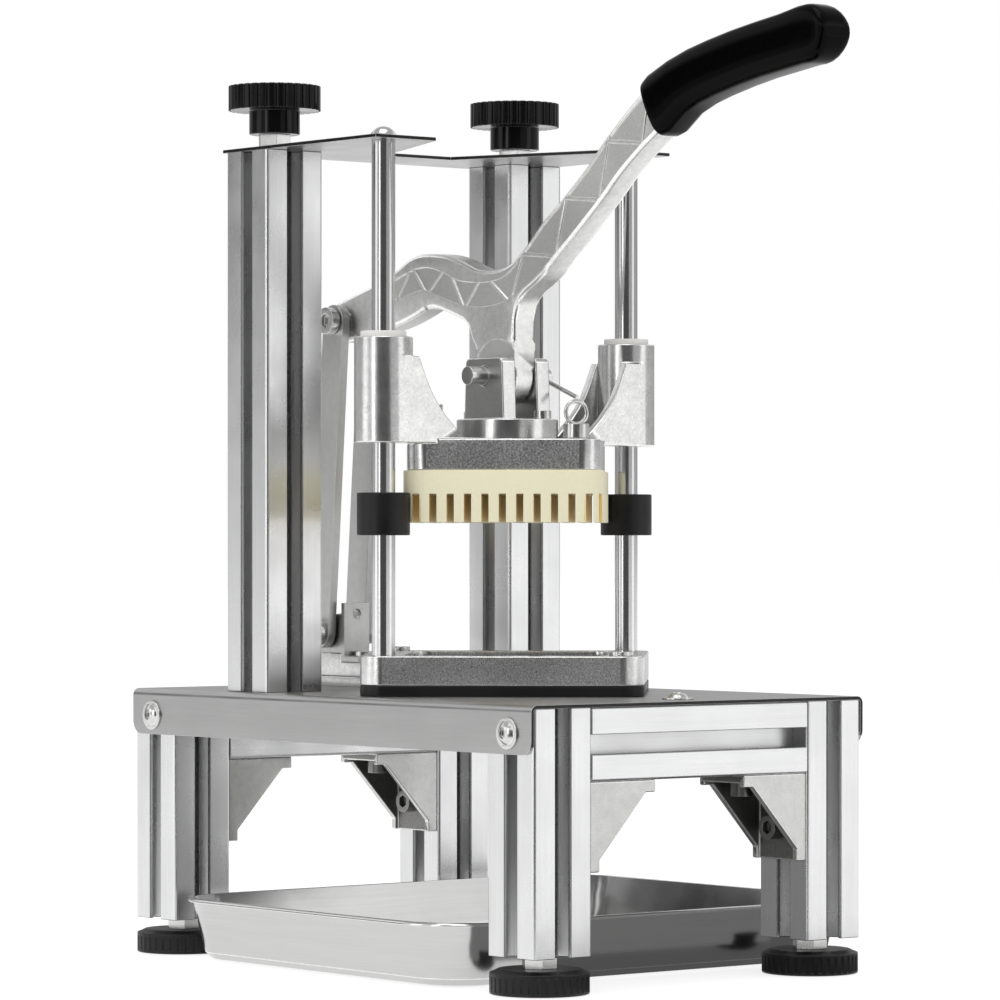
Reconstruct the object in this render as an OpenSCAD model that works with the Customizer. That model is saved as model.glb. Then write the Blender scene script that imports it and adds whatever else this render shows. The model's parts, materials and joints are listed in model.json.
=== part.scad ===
// Lever-operated french fry cutter on a four-legged slotted-profile stand.
// The press axis is the Z axis: X runs to the operator's right, Y to the back, and the feet and
// the tray stand on Z = 0.

/* [Stand] */
// Side of the square slotted profile
profile_w = 30; // [26:1:33]
// Width of each slot's mouth
slot_w = 8.2; // [7:0.1:9]
// Width of a slot behind its lips
slot_inner_w = 16.4; // [15:0.2:17]
// Thickness of the lips
slot_lip = 2; // [1.5:0.1:2.4]
// Depth of a slot from the face of the profile
slot_depth = 8.8; // [8:0.1:9.4]
// Rounding of the profile's outer edges
profile_edge_r = 1.5; // [0.5:0.1:2]
// From each guide rod out to the side of the legs
side_margin = 21.5; // [20:0.5:32]
// Stand's depth, over the legs
stand_d = 280; // [272:1:320]
// From the press axis forward to the front of the legs
front_reach = 127; // [122:1:135]
// Length of a leg
leg_len = 100; // [90:1:140]

/* [Table] */
// Thickness of the bent sheet
table_t = 1.5; // [1:0.1:2.5]
// Height of the side flanges, over the sheet
flange_h = 20; // [18:0.5:26]
// Radius of the flanges' lower corners
flange_corner_r = 6; // [3:0.5:8]

/* [Upper frame] */
// Length of a column
column_len = 234; // [230:1:250]
// From the press axis back to the columns' centres
column_back = 78; // [74:1:90]
// Thickness of the top plate
plate_t = 1.5; // [1:0.1:3]
// From each guide rod out to the side of the top plate
plate_margin = 14; // [12:0.5:18]
// From the press axis back to the plate's rear edge
plate_back = 97; // [95:1:104]
// From the press axis forward to the ends of the plate's arms
plate_front = 13; // [11:0.5:18]
// Width of the notch at its bottom
notch_w = 37; // [30:1:44]
// From each guide rod in to the mouth of the notch
notch_margin = 18; // [15:0.5:24]
// From the press axis back to the bottom of the notch
notch_back = 63; // [60:0.5:66]
// Diameter of a guide rod
rod_d = 10; // [9:0.1:10.5]

/* [Knobs and feet] */
// Diameter of a clamp knob
knob_d = 40; // [34:1:46]
// Height of a clamp knob's rim
knob_rim_h = 10.6; // [9:0.2:14]
// Diameter of a clamp knob's hub
knob_hub_d = 22; // [20:0.5:26]
// Height of the hub under the rim
knob_hub_h = 10.4; // [8:0.2:14]
// Width across the flats of the hexagons on the knobs and feet
hex_w = 13; // [12:0.5:14]
// Diameter of the threaded studs of the knobs and feet
stud_d = 8; // [6:0.5:8.6]
// Diameter of a foot's pad
foot_d = 40.5; // [34:0.5:42]
// Height of a foot's pad
foot_pad_h = 10; // [7:0.5:12]
// Height of a foot's hexagon
foot_hex_h = 4.6; // [3:0.2:8]

/* [Blade frame] */
// Side of the blade frame's square opening
blade_opening_w = 86.5; // [78:0.5:96]
// Thickness of the frame's walls at the front right and the rear left
end_wall = 16.65; // [14:0.05:20]
// Thickness of its other two walls
side_wall = 11.15; // [9.6:0.05:14]
// Height of the blade frame
blade_frame_h = 12.4; // [11.9:0.1:16]
// Radius of the blade frame's corners, with the guide rods and the frame screws at their centres
frame_corner_r = 9.86; // [8.5:0.02:11]
// Radius of the opening's corners
blade_opening_r = 8; // [5:0.5:9]
// Thickness of the rubber pad under the blade frame
pad_t = 4.6; // [3:0.2:8]
// Number of blades each way
blade_count = 11; // [7:2:13]
// Thickness of a blade
blade_t = 0.5; // [0.3:0.1:0.8]
// Height of a blade
blade_h = 4.4; // [3:0.1:4.5]

/* [Pusher head] */
// Height of the pusher's teeth over the table in the shown position
head_h = 73.1; // [66:0.1:74]
// Play between the pusher block and the sides of the opening
pusher_play = 0.75; // [0.6:0.05:3]
// Radius of the pusher block's corners
pusher_corner_r = 10; // [8:0.5:12]
// Height of the pusher's solid part
pusher_solid_h = 10; // [8:0.5:14]
// Length of the pusher's teeth
tooth_h = 12.1; // [10:0.1:14]
// Width of the grooves between the teeth
groove_w = 3; // [1.8:0.1:3.4]
// Step from the pusher block in to the casting's square body
head_step = 1.5; // [0.5:0.1:4]
// Radius of the casting's corners
head_corner_r = 8.6; // [6:0.2:11]
// Height of the casting's square body
head_body_h = 13.3; // [12:0.1:16]
// Diameter of the bosses that ride on the guide rods
boss_d = 24.8; // [22:0.2:25]
// Height of the bosses
boss_h = 44.6; // [40:0.2:48]
// Height of the bosses' side ribs
boss_rib_h = 36.3; // [30:0.1:38]
// Thickness of the bosses' side ribs
boss_rib_t = 4; // [3:0.1:5]
// Length of the side ribs, inwards along the casting's arms
boss_rib_l = 24.8; // [20:0.1:28]
// Outer diameter of a guide bush
bush_d = 14; // [13:0.1:16]
// Diameter of the bush's lip
bush_lip_d = 19.4; // [18:0.1:22]
// Thickness of the bush's lip
bush_lip_t = 2.4; // [1.5:0.1:3.5]

/* [Clevis] */
// Diameter of the clevis's round foot
clevis_foot_d = 43.6; // [42:0.2:46]
// Thickness of the clevis's round foot
clevis_foot_t = 9; // [7:0.2:11]
// Width over the clevis's ears
clevis_w = 26; // [24:0.5:29]
// Depth of the ears at their foot
ear_d = 27; // [24:0.5:29]
// Height of the pivot over the clevis's foot
pivot_rise = 18.5; // [17:0.1:20]
// From the pivot up to the top of the ears
ear_top = 7.8; // [7:0.1:8.4]
// Diameter of the pivot pin
pivot_d = 8; // [7:0.1:8.4]
// Length of the pivot pin
pivot_pin_len = 44; // [40:0.5:48]

/* [Lever] */
// From the pivot forward to the end of the grip
lever_reach = 210; // [200:1:230]
// From the pivot up to the middle of the grip's end
lever_rise = 131; // [126:1:136]
// From the pivot back to the links' pivot
tail_reach = 109.5; // [108:0.5:112]
// From the pivot up to the links' pivot
tail_rise = 27.5; // [26:0.5:29]
// Thickness of the cast arm
arm_t = 12; // [10:0.2:13]
// Thickness of the lever's hub between the ears
hub_t = 11; // [9:0.1:11.4]
// Radius of the lever's hub
hub_r = 12; // [10:0.1:12.4]
// Width of the grip
grip_w = 17; // [15:0.5:22]
// Depth of the pockets in the arm's sides
pocket_depth = 0.7; // [0.4:0.1:1.5]

/* [Links] */
// Width of a link
link_w = 14.6; // [12:0.2:15]
// Thickness of a link
link_t = 4; // [3:0.1:5]
// Distance between the two links
link_gap = 16; // [15.6:0.1:18]
// Diameter of the links' pivots
link_pivot_d = 8; // [6:0.1:8]
// Height of the links' lower pivot over the tail block
link_pivot_h = 9.4; // [8.6:0.1:11]
// From the press axis back to the links' lower pivot
link_back = 120; // [118:0.5:122]

/* [Tail block] */
// Width of the tail block
tail_w = 14; // [12:0.2:14]
// Length of the tail block
tail_len = 35; // [33:0.5:36]
// Height of the tail block
tail_h = 10.5; // [9:0.1:12]
// Depth of the step in the tail block's top
tail_step = 3.9; // [2:0.1:5]

/* [Rod bumpers] */
// Diameter of a rubber bumper
bumper_d = 22.4; // [20:0.2:22.4]
// Height of a rubber bumper
bumper_h = 18; // [14:0.5:20]
// Height of the bumpers over the table in the shown position
bumper_rise = 67.7; // [60:0.1:68]

/* [Tray] */
// Tray's length, over the rim
tray_l = 234; // [200:1:260]
// Tray's width, over the rim
tray_w = 202; // [180:1:208]
// Height of the tray
tray_h = 27; // [20:0.5:32]
// Thickness of the tray's sheet
tray_t = 0.8; // [0.6:0.1:1.2]
// Radius of the tray's corners
tray_corner_r = 30; // [24:1:40]
// From the press axis to the tray's middle, to the right
tray_offset = 15; // [0:1:20]
// From the press axis to the tray's middle, to the back
tray_back = 13; // [12:0.5:14]

/* [Hidden] */
$fn = 48;

// Clearances and the overrun of cuts
over = 1;
face_gap = 0.3;
run_gap = 0.06;
seat_gap = 0.02;
screw_gap = 0.25;

// Heights of the stand, from the floor up
leg_z = foot_pad_h + foot_hex_h + face_gap;
leg_top = leg_z + leg_len;
table_z = leg_top + table_t;
beam_z = leg_top - profile_w;
pad_top = table_z + pad_t;
frame_top = pad_top + blade_frame_h;
column_top = table_z + column_len;
plate_top = column_top + plate_t;

// Places of the rods, legs and columns; the rods stand in two opposite corners of the frame
blade_frame_l = blade_opening_w + 2 * end_wall;
blade_frame_w = blade_opening_w + 2 * side_wall;
frame_reach = [blade_frame_l - 2 * frame_corner_r, blade_frame_w - 2 * frame_corner_r];
frame_turn = atan2(frame_reach[1], frame_reach[0]);
rod_x = norm(frame_reach) / 2;
rod_span = 2 * rod_x;
stand_w = rod_span + 2 * side_margin;
plate_w = rod_span + 2 * plate_margin;
notch_mouth_w = rod_span - 2 * notch_margin;
screw_corner = [rod_x * cos(2 * frame_turn), -rod_x * sin(2 * frame_turn)];
leg_x = (stand_w - profile_w) / 2;
leg_front_y = profile_w / 2 - front_reach;
leg_rear_y = stand_d - front_reach - profile_w / 2;
leg_inner_x = stand_w / 2 - profile_w;

// Slotted profile
slot_side = 2.6;
slot_floor_w = 8.6;
core_bore_d = stud_d + 2 * run_gap;

// Heights of the moving head, from its teeth up
tooth_z = table_z + head_h;
groove_top = tooth_z + tooth_h;
pusher_top = groove_top + pusher_solid_h;
body_top = pusher_top + head_body_h;
arm_floor_t = 1.8;
boss_z = body_top - arm_floor_t;
boss_top = boss_z + boss_h;
clevis_top = body_top + clevis_foot_t;
pivot_z = clevis_top + pivot_rise;
link_z = pad_top + tail_h + link_pivot_h;
bumper_z = table_z + bumper_rise;

// Screws: [shank diameter, head diameter, head height, hexagon width, hexagon depth]
m6_button = [6, 10.6, 3.3, 4, 1.8];
button_rim_d = 13;
button_rim_h = 0.9;
m6_cap = [6, 10, 6, 5, 3];
m5_cap = [5, 7.4, 3.6, 3.4, 2];
m5_low = [5, 8.4, 2.2, 3, 1.2];
m8_cap = [8, 13, 8, 6, 4];

// Fasteners of the stand
bracket_hole_at = 23;
flange_screw_drop = 11.5;
table_screw_len = 8;
nut_w = 15.4;
nut_l = 12;
nut_t = 3;
nut_neck_w = 7.8;

// Corner brackets
bracket_l = 34.5;
bracket_h = 36.5;
bracket_w = 28;
bracket_plate_t = 3.4;
bracket_lip = 5;
bracket_wall_t = 3;

// Knob and foot serrations
knob_ribs = 32;
knob_rib_d = 2.4;
foot_ribs = 36;
foot_rib_d = 1.8;
foot_rib_h = 6;
foot_crown_d = 34;
foot_crown_t = 1.2;
knob_stud_h = 5.8;
stud_reach = 18;

// Guide rods
rod_neck_d = 8;
rod_flat_nut_h = 6.5;
dome_d = 11.6;
dome_h = 4.6;

// Blade frame
blade_edge_share = 0.785;
blade_pitch = blade_opening_w / (blade_count + blade_edge_share);
blade_bar_t = 3;
blade_recess_w = blade_opening_w + 2 * blade_bar_t + 4 * face_gap;
blade_lower_z = pad_top + 0.5 * face_gap;
blade_upper_z = blade_lower_z + blade_h + 0.5 * face_gap;
blade_ceiling = blade_upper_z + blade_h + 0.5 * face_gap;
blade_span = (blade_count - 1) * blade_pitch;
blade_bar_l = blade_span + 2 * blade_bar_t;
frame_screw_d = 10;
frame_screw_h = 1.8;
frame_screw_slot_w = 1.4;
frame_screw_shank_d = 6;
table_opening_w = blade_opening_w + 1.5;

// Pusher block and the casting's body over it
pusher_w = blade_opening_w - 2 * pusher_play;
head_body_w = pusher_w - 2 * head_step;
boss_rib_shares = [[0, 0], [0.283, 0.186], [0.45, 0.30], [0.60, 0.43], [0.74, 0.58], [0.87, 0.77], [1, 1]];
boss_rib_top_share = 0.4;

// Tail block, its bracket and the links' lower pivot
bracket_web_t = 2.5;
bracket_out_w = 14;
bracket_front = link_back - 12.5;
bracket_back = link_back + 8;
bracket_tall = 22.4;
tab_hole_d = 4.5;
tab_hole_drop = 5;
tail_foot_l = 10.5;
tail_front = bracket_front - tail_foot_l - 1.8;
tail_top = pad_top + tail_h;
tail_ledge = tail_top - tail_step;
tail_screw_ys = [bracket_front - tail_foot_l / 2, link_back];
tail_screw_seats = [tail_ledge + bracket_web_t, tail_top + bracket_web_t];
link_lower = [link_back, link_z];
link_upper = [tail_reach, pivot_z + tail_rise];
link_screw_kind = [link_pivot_d, 12, 4, 6, 2];

// Lever: the arm's middle line, each row [reach share, rise share, half-depth share]
arm_shares = [
    [0.522, 0.210, 0.0725], [0.392, 0.252, 0.084], [0.321, 0.285, 0.092], [0.259, 0.323, 0.096],
    [0.193, 0.343, 0.073], [0.135, 0.335, 0.058], [0.075, 0.302, 0.057], [0.015, 0.291, 0.058],
    [-0.050, 0.308, 0.060], [-0.110, 0.359, 0.0655], [-0.172, 0.440, 0.0690], [-0.235, 0.512, 0.0680],
    [-0.310, 0.605, 0.0670], [-0.361, 0.677, 0.0683], [-0.424, 0.753, 0.0727], [-0.490, 0.822, 0.0760],
    [-0.545, 0.872, 0.0660], [-0.610, 0.910, 0.0530]
];
grip_shares = [
    [-0.480, 0.820, 0.1000], [-0.505, 0.840, 0.1050], [-0.558, 0.885, 0.0945], [-0.609, 0.912, 0.0915],
    [-0.662, 0.932, 0.0900], [-0.795, 0.970, 0.0880], [-0.867, 0.985, 0.0885], [-0.919, 0.998, 0.0910],
    [-0.938, 1.000, 0.0915]
];
// The grip's layers across its width, each row [width share, share of its half-depth]
grip_layer_shares = [[1, 0.72], [0.84, 0.88], [0.6, 1]];
// The pockets' middle line, in rows like the arm's
pocket_shares = [
    [0.345, 0.300, 0.034], [0.309, 0.319, 0.0345], [0.262, 0.3345, 0.037], [0.228, 0.334, 0.038],
    [0.184, 0.313, 0.040], [0.137, 0.288, 0.0375], [0.095, 0.2765, 0.039], [0.050, 0.271, 0.040],
    [0.010, 0.275, 0.039], [-0.025, 0.2865, 0.0385], [-0.059, 0.311, 0.040], [-0.110, 0.362, 0.048],
    [-0.172, 0.440, 0.0552], [-0.235, 0.512, 0.0544], [-0.310, 0.605, 0.0536], [-0.361, 0.677, 0.0546],
    [-0.424, 0.753, 0.0582], [-0.490, 0.822, 0.0608]
];
// Ribs in the arm's pockets, each row from [reach share, rise share] to [reach share, rise share]
rib_shares = [
    [-0.472, 0.860, -0.456, 0.717], [-0.456, 0.717, -0.352, 0.734], [-0.352, 0.734, -0.324, 0.549],
    [-0.324, 0.549, -0.218, 0.565], [-0.218, 0.565, -0.186, 0.380], [-0.186, 0.380, -0.081, 0.395],
    [-0.081, 0.395, -0.042, 0.241], [-0.029, 0.252, 0.020, 0.309], [0.066, 0.307, 0.103, 0.240],
    [0.116, 0.244, 0.153, 0.340], [0.183, 0.353, 0.224, 0.298], [0.244, 0.299, 0.278, 0.365],
    [0.299, 0.353, 0.328, 0.288]
];
leg_shares = [
    [-0.056, 0.000], [-0.056, 0.120], [-0.057, 0.178], [-0.061, 0.205], [-0.067, 0.230], [-0.078, 0.251],
    [-0.096, 0.272], [-0.124, 0.294], [-0.155, 0.324], [-0.185, 0.380], [-0.080, 0.335], [0.100, 0.310],
    [0.262, 0.240], [0.236, 0.2335], [0.222, 0.237], [0.206, 0.236], [0.190, 0.230], [0.137, 0.204],
    [0.112, 0.190], [0.095, 0.168], [0.086, 0.132], [0.070, 0.091], [0.060, 0.040], [0.056, 0.000]
];
grip_core_clear = 0.2;
hub_relief_r = 16;
tail_boss_r = 9.5;
rib_w = 1.4;
steps_per_span = 5;

// Clevis and its fasteners
ear_t = (clevis_w - hub_t) / 2 - face_gap;
ear_top_share = 0.93;
ear_corner_r = 2.5;
clevis_screw_x = 5.2;
clevis_screw_y = 17.6;
split_pin_d = 2;
split_pin_tilt = 20;
split_pin_front = 27;
split_pin_rear = 7;
split_pin_at = pivot_pin_len / 2 - 4;

// Tray: the width of its rim
tray_rim_share = 0.055;

// Spring plungers with pull rings
plunger_at = 46.5;
plunger_d = 6;
plunger_collar_d = 11;
plunger_collar_h = 6;
plunger_nose = 5;
pull_ring_d = 11.4;
pull_ring_wire = 1.8;
plunger_turns = [-15, 51];

// Rounded rectangle with square corner radius r, centred
module rounded_rect(w, d, r) {
    square([w - 2 * r, d], center = true);
    square([w, d - 2 * r], center = true);
    for (sx = [-1, 1], sy = [-1, 1])
        translate([sx * (w / 2 - r), sy * (d / 2 - r)]) circle(r);
}

module rounded_slab(w, d, h, r) {
    linear_extrude(h) rounded_rect(w, d, r);
}

// A slab turned in plan as the blade frame is
module turned_slab(l, w, h, r) {
    rotate(-frame_turn) rounded_slab(l, w, h, r);
}

// A closed band of the given section round a rounded rectangle; the section's x is counted
// from the centre of the corner radius
module rounded_band(w, d, r) {
    for (side = [0, 1]) {
        long = (side == 0 ? w : d) - 2 * r;
        out = (side == 0 ? d : w) / 2 - r;
        for (turn = [0, 180])
            rotate(turn + side * 90) translate([-long / 2, -out, 0])
                rotate([90, 0, 90]) mirror([1, 0, 0]) linear_extrude(long) children();
    }
    for (turn = [0 : 90 : 270])
        rotate(turn)
            translate([(turn % 180 == 0 ? w : d) / 2 - r, (turn % 180 == 0 ? d : w) / 2 - r, 0])
                rotate_extrude(angle = 90) children();
}

// Upright hexagonal prism of width w across its flats
module hexagon(w, h) {
    cylinder(h = h, d = w / cos(30), $fn = 6);
}

// Socket screw standing on its head's underside, shank down
module socket_screw(kind, len) {
    difference() {
        cylinder(h = kind[2], d = kind[1]);
        translate([0, 0, kind[2] - kind[4]]) hexagon(kind[3], kind[4] + over);
    }
    if (len > 0) translate([0, 0, -len]) cylinder(h = len, d = kind[0]);
}

// Button screw with a domed head on a flat rim
module button_screw(kind, len) {
    rise = kind[2];
    half = kind[1] / 2;
    dome_r = (half * half + rise * rise) / (2 * rise);
    difference() {
        union() {
            intersection() {
                cylinder(h = rise, r = half);
                translate([0, 0, rise - dome_r]) sphere(dome_r);
            }
            cylinder(h = button_rim_h, d = button_rim_d);
        }
        translate([0, 0, rise - kind[4]]) hexagon(kind[3], kind[4] + over);
    }
    translate([0, 0, -len]) cylinder(h = len, d = kind[0]);
}

// One slot's cut through the profile's end, on the +X face
module slot_cut() {
    face = profile_w / 2;
    back = face - slot_lip;
    polygon([
        [face + over, -slot_w / 2], [back, -slot_w / 2], [back, -slot_inner_w / 2],
        [back - slot_side, -slot_inner_w / 2], [face - slot_depth, -slot_floor_w / 2],
        [face - slot_depth, slot_floor_w / 2], [back - slot_side, slot_inner_w / 2],
        [back, slot_inner_w / 2], [back, slot_w / 2], [face + over, slot_w / 2]
    ]);
}

// Slotted profile standing on Z = 0
module profile_bar(len) {
    color([0.80, 0.81, 0.82])
        linear_extrude(len) difference() {
            rounded_rect(profile_w, profile_w, profile_edge_r);
            for (turn = [0 : 90 : 270]) rotate(turn) slot_cut();
            circle(d = core_bore_d);
        }
}

module leg(sx, y) {
    translate([sx * leg_x, y, leg_z]) profile_bar(leg_len);
}

module leg_front_left() { leg(-1, leg_front_y); }
module leg_front_right() { leg(1, leg_front_y); }
module leg_rear_left() { leg(-1, leg_rear_y); }
module leg_rear_right() { leg(1, leg_rear_y); }

module cross_beam(y) {
    translate([-leg_inner_x, y, beam_z + profile_w / 2])
        rotate([0, 90, 0]) profile_bar(2 * leg_inner_x);
}

module front_beam() { cross_beam(leg_front_y); }
module rear_beam() { cross_beam(leg_rear_y); }

// Bracket in the corner of a leg and a beam, its corner at the origin, arms along +X and -Z
module bracket_side() {
    polygon([
        [0, 0], [bracket_l, 0], [bracket_l, -bracket_lip], [bracket_l - bracket_lip, -bracket_lip],
        [bracket_lip, bracket_lip - bracket_h], [bracket_lip, -bracket_h], [0, -bracket_h]
    ]);
}

module corner_bracket() {
    difference() {
        union() {
            for (side = [-1, 1])
                translate([0, side * (bracket_w - bracket_wall_t) / 2 + bracket_wall_t / 2, 0])
                    rotate([90, 0, 0]) linear_extrude(bracket_wall_t) bracket_side();
            translate([0, -bracket_w / 2, -bracket_plate_t]) cube([bracket_l, bracket_w, bracket_plate_t]);
            translate([0, -bracket_w / 2, -bracket_h]) cube([bracket_plate_t, bracket_w, bracket_h]);
        }
        translate([bracket_hole_at, 0, -bracket_plate_t - over])
            cylinder(h = bracket_plate_t + 2 * over, d = m6_cap[0] + 2 * screw_gap);
        translate([-over, 0, -bracket_hole_at]) rotate([0, 90, 0])
            cylinder(h = bracket_plate_t + 2 * over, d = m6_cap[0] + 2 * screw_gap);
    }
}

// Places children at each of the four corners where a leg meets a beam
module at_corners() {
    for (y = [leg_front_y, leg_rear_y], sx = [-1, 1])
        translate([sx * leg_inner_x, y, beam_z]) mirror([sx < 0 ? 0 : 1, 0, 0]) children();
}

module corner_brackets() {
    color([0.62, 0.63, 0.64]) at_corners() corner_bracket();
}

// Length of a screw that clamps a sheet to a slot nut
function clamp_len(sheet_t) = sheet_t + slot_lip + nut_t;

module bracket_screws() {
    color([0.45, 0.45, 0.47]) at_corners() {
        translate([bracket_hole_at, 0, -bracket_plate_t]) rotate([180, 0, 0])
            socket_screw(m6_cap, clamp_len(bracket_plate_t));
        translate([bracket_plate_t, 0, -bracket_hole_at]) rotate([0, 90, 0])
            socket_screw(m6_cap, clamp_len(bracket_plate_t));
    }
}

// Slot nut under a profile's face; the face is at Z = 0 and the slot runs along X
module slot_nut() {
    difference() {
        union() {
            translate([-nut_l / 2, -nut_w / 2, -slot_lip - nut_t]) cube([nut_l, nut_w, nut_t]);
            translate([-nut_l / 2, -nut_neck_w / 2, -slot_lip])
                cube([nut_l, nut_neck_w, slot_lip - seat_gap]);
        }
        translate([0, 0, -slot_lip - nut_t - over])
            cylinder(h = slot_lip + nut_t + 2 * over, d = m6_cap[0] + 2 * seat_gap);
    }
}

module slot_nuts() {
    color([0.55, 0.55, 0.57]) {
        at_corners() {
            translate([bracket_hole_at, 0, 0]) rotate([180, 0, 0]) slot_nut();
            translate([0, 0, -bracket_hole_at]) rotate([0, 90, 0]) slot_nut();
        }
        for (y = [leg_front_y, leg_rear_y]) {
            for (sx = [-1, 1])
                translate([sx * stand_w / 2, y, table_z - flange_screw_drop])
                    rotate([0, sx * 90, 0]) slot_nut();
            translate([0, y, leg_top]) slot_nut();
        }
    }
}

// Outline of the bent sheet's section across X
module table_section() {
    half = stand_w / 2 + table_t;
    difference() {
        translate([0, table_z - flange_h / 2]) rounded_top(2 * half, flange_h, 2 * table_t);
        translate([0, table_z - table_t - flange_h / 2])
            rounded_top(stand_w, flange_h, table_t / 2);
    }
}

// Rectangle with its two upper corners rounded, centred
module rounded_top(w, h, r) {
    translate([0, -r / 2]) square([w, h - r], center = true);
    translate([0, h / 2 - r / 2]) square([w - 2 * r, r], center = true);
    for (sx = [-1, 1]) translate([sx * (w / 2 - r), h / 2 - r]) circle(r);
}

module table_plate() {
    mid_y = (leg_front_y + leg_rear_y) / 2;
    color([0.60, 0.61, 0.62]) difference() {
        translate([0, mid_y + stand_d / 2, 0]) rotate([90, 0, 0]) linear_extrude(stand_d) table_section();
        for (sx = [-1, 1], sy = [-1, 1])
            translate([sx * (stand_w / 2 + table_t / 2), mid_y + sy * stand_d / 2, table_z - flange_h])
                rotate([90, 0, 90]) corner_cut(sy);
        translate([0, 0, leg_top - over])
            turned_slab(table_opening_w, table_opening_w, table_t + 2 * over, blade_opening_r);
        for (y = [leg_front_y, leg_rear_y]) {
            translate([0, y, leg_top - over])
                cylinder(h = table_t + 2 * over, d = m6_button[0] + 2 * screw_gap);
            translate([-stand_w, y, table_z - flange_screw_drop]) rotate([0, 90, 0])
                cylinder(h = 2 * stand_w, d = m6_button[0] + 2 * screw_gap);
        }
        for (sx = [-1, 1]) {
            translate([sx * rod_x, 0, leg_top - over])
                cylinder(h = table_t + 2 * over, d = rod_neck_d + 2 * screw_gap);
            translate([sx * screw_corner[0], sx * screw_corner[1], leg_top - over])
                cylinder(h = table_t + 2 * over, d = frame_screw_shank_d + 2 * screw_gap);
            translate([sx * rod_x, column_back, leg_top - over])
                cylinder(h = table_t + 2 * over, d = m8_cap[0] + 2 * screw_gap);
        }
        tail_screw_holes(leg_top, table_t);
    }
}

// What a rounded lower corner of the flange loses
module corner_cut(sy) {
    r = flange_corner_r;
    translate([0, 0, -table_t]) linear_extrude(2 * table_t) mirror([sy < 0 ? 1 : 0, 0]) difference() {
        translate([-r, -over]) square([r + over, r + over]);
        translate([-r, r]) circle(r);
    }
}

module button_screws() {
    color([0.75, 0.76, 0.77]) for (y = [leg_front_y, leg_rear_y]) {
        for (sx = [-1, 1])
            translate([sx * (stand_w / 2 + table_t), y, table_z - flange_screw_drop])
                rotate([0, sx * 90, 0]) button_screw(m6_button, clamp_len(table_t));
        translate([0, y, table_z]) button_screw(m6_button, clamp_len(table_t));
    }
}

// Serrated disc standing on Z = 0, its grooves from groove_z up
module serrated_disc(d, h, count, rib_d, groove_z, groove_h) {
    difference() {
        cylinder(h = h, d = d);
        for (i = [0 : count - 1])
            rotate(i * 360 / count) translate([d / 2 + rib_d / 4, 0, groove_z])
                cylinder(h = groove_h, d = rib_d, $fn = 16);
    }
}

module foot_pad(sx, y) {
    crown_z = foot_pad_h - foot_crown_t;
    color([0.09, 0.09, 0.09]) translate([sx * leg_x, y, 0]) {
        serrated_disc(foot_d, crown_z, foot_ribs, foot_rib_d, foot_crown_t, foot_rib_h);
        translate([0, 0, crown_z]) cylinder(h = foot_crown_t, d1 = foot_d - foot_rib_d, d2 = foot_crown_d);
    }
}

module foot_stud(sx, y) {
    color([0.80, 0.81, 0.82]) translate([sx * leg_x, y, foot_pad_h]) {
        hexagon(hex_w, foot_hex_h);
        cylinder(h = foot_hex_h + face_gap + stud_reach, d = stud_d);
    }
}

module foot_pad_front_left() { foot_pad(-1, leg_front_y); }
module foot_pad_front_right() { foot_pad(1, leg_front_y); }
module foot_pad_rear_left() { foot_pad(-1, leg_rear_y); }
module foot_pad_rear_right() { foot_pad(1, leg_rear_y); }
module foot_stud_front_left() { foot_stud(-1, leg_front_y); }
module foot_stud_front_right() { foot_stud(1, leg_front_y); }
module foot_stud_rear_left() { foot_stud(-1, leg_rear_y); }
module foot_stud_rear_right() { foot_stud(1, leg_rear_y); }

module column(sx) {
    translate([sx * rod_x, column_back, table_z]) profile_bar(column_len);
}

module column_left() { column(-1); }
module column_right() { column(1); }

module column_screws() {
    color([0.45, 0.45, 0.47]) for (sx = [-1, 1])
        translate([sx * rod_x, column_back, leg_top]) rotate([180, 0, 0])
            socket_screw(m8_cap, table_t + stud_reach);
}

module top_plate() {
    color([0.50, 0.51, 0.52]) translate([0, 0, column_top]) difference() {
        linear_extrude(plate_t) polygon([
            [-plate_w / 2, plate_back], [plate_w / 2, plate_back], [plate_w / 2, -plate_front],
            [notch_mouth_w / 2, -plate_front], [notch_w / 2, notch_back], [-notch_w / 2, notch_back],
            [-notch_mouth_w / 2, -plate_front], [-plate_w / 2, -plate_front]
        ]);
        for (sx = [-1, 1]) {
            translate([sx * rod_x, 0, -over]) cylinder(h = plate_t + 2 * over, d = rod_neck_d + 2 * run_gap);
            translate([sx * rod_x, column_back, -over])
                cylinder(h = plate_t + 2 * over, d = stud_d + 2 * run_gap);
        }
    }
}

module knob(sx) {
    color([0.05, 0.05, 0.05])
        translate([sx * rod_x, column_back, plate_top + face_gap + knob_stud_h]) difference() {
            union() {
                cylinder(h = knob_hub_h, d = knob_hub_d);
                translate([0, 0, knob_hub_h])
                    serrated_disc(knob_d, knob_rim_h, knob_ribs, knob_rib_d, -over, knob_rim_h + 2 * over);
            }
            translate([0, 0, -over]) cylinder(h = knob_hub_h + over, d = stud_d + 2 * seat_gap);
        }
}

module knob_left() { knob(-1); }
module knob_right() { knob(1); }

module knob_stud(sx) {
    color([0.78, 0.79, 0.80]) translate([sx * rod_x, column_back, plate_top + face_gap]) {
        hexagon(hex_w, knob_stud_h);
        translate([0, 0, -face_gap - plate_t - stud_reach])
            cylinder(h = stud_reach + plate_t + face_gap + knob_stud_h + knob_hub_h, d = stud_d);
    }
}

module knob_stud_left() { knob_stud(-1); }
module knob_stud_right() { knob_stud(1); }

module guide_rod(sx) {
    color([0.85, 0.86, 0.88]) translate([sx * rod_x, 0, 0]) {
        translate([0, 0, pad_top]) cylinder(h = column_top - pad_top, d = rod_d);
        translate([0, 0, leg_top - rod_flat_nut_h])
            cylinder(h = plate_top + dome_h / 2 - leg_top + rod_flat_nut_h, d = rod_neck_d);
    }
}

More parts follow.
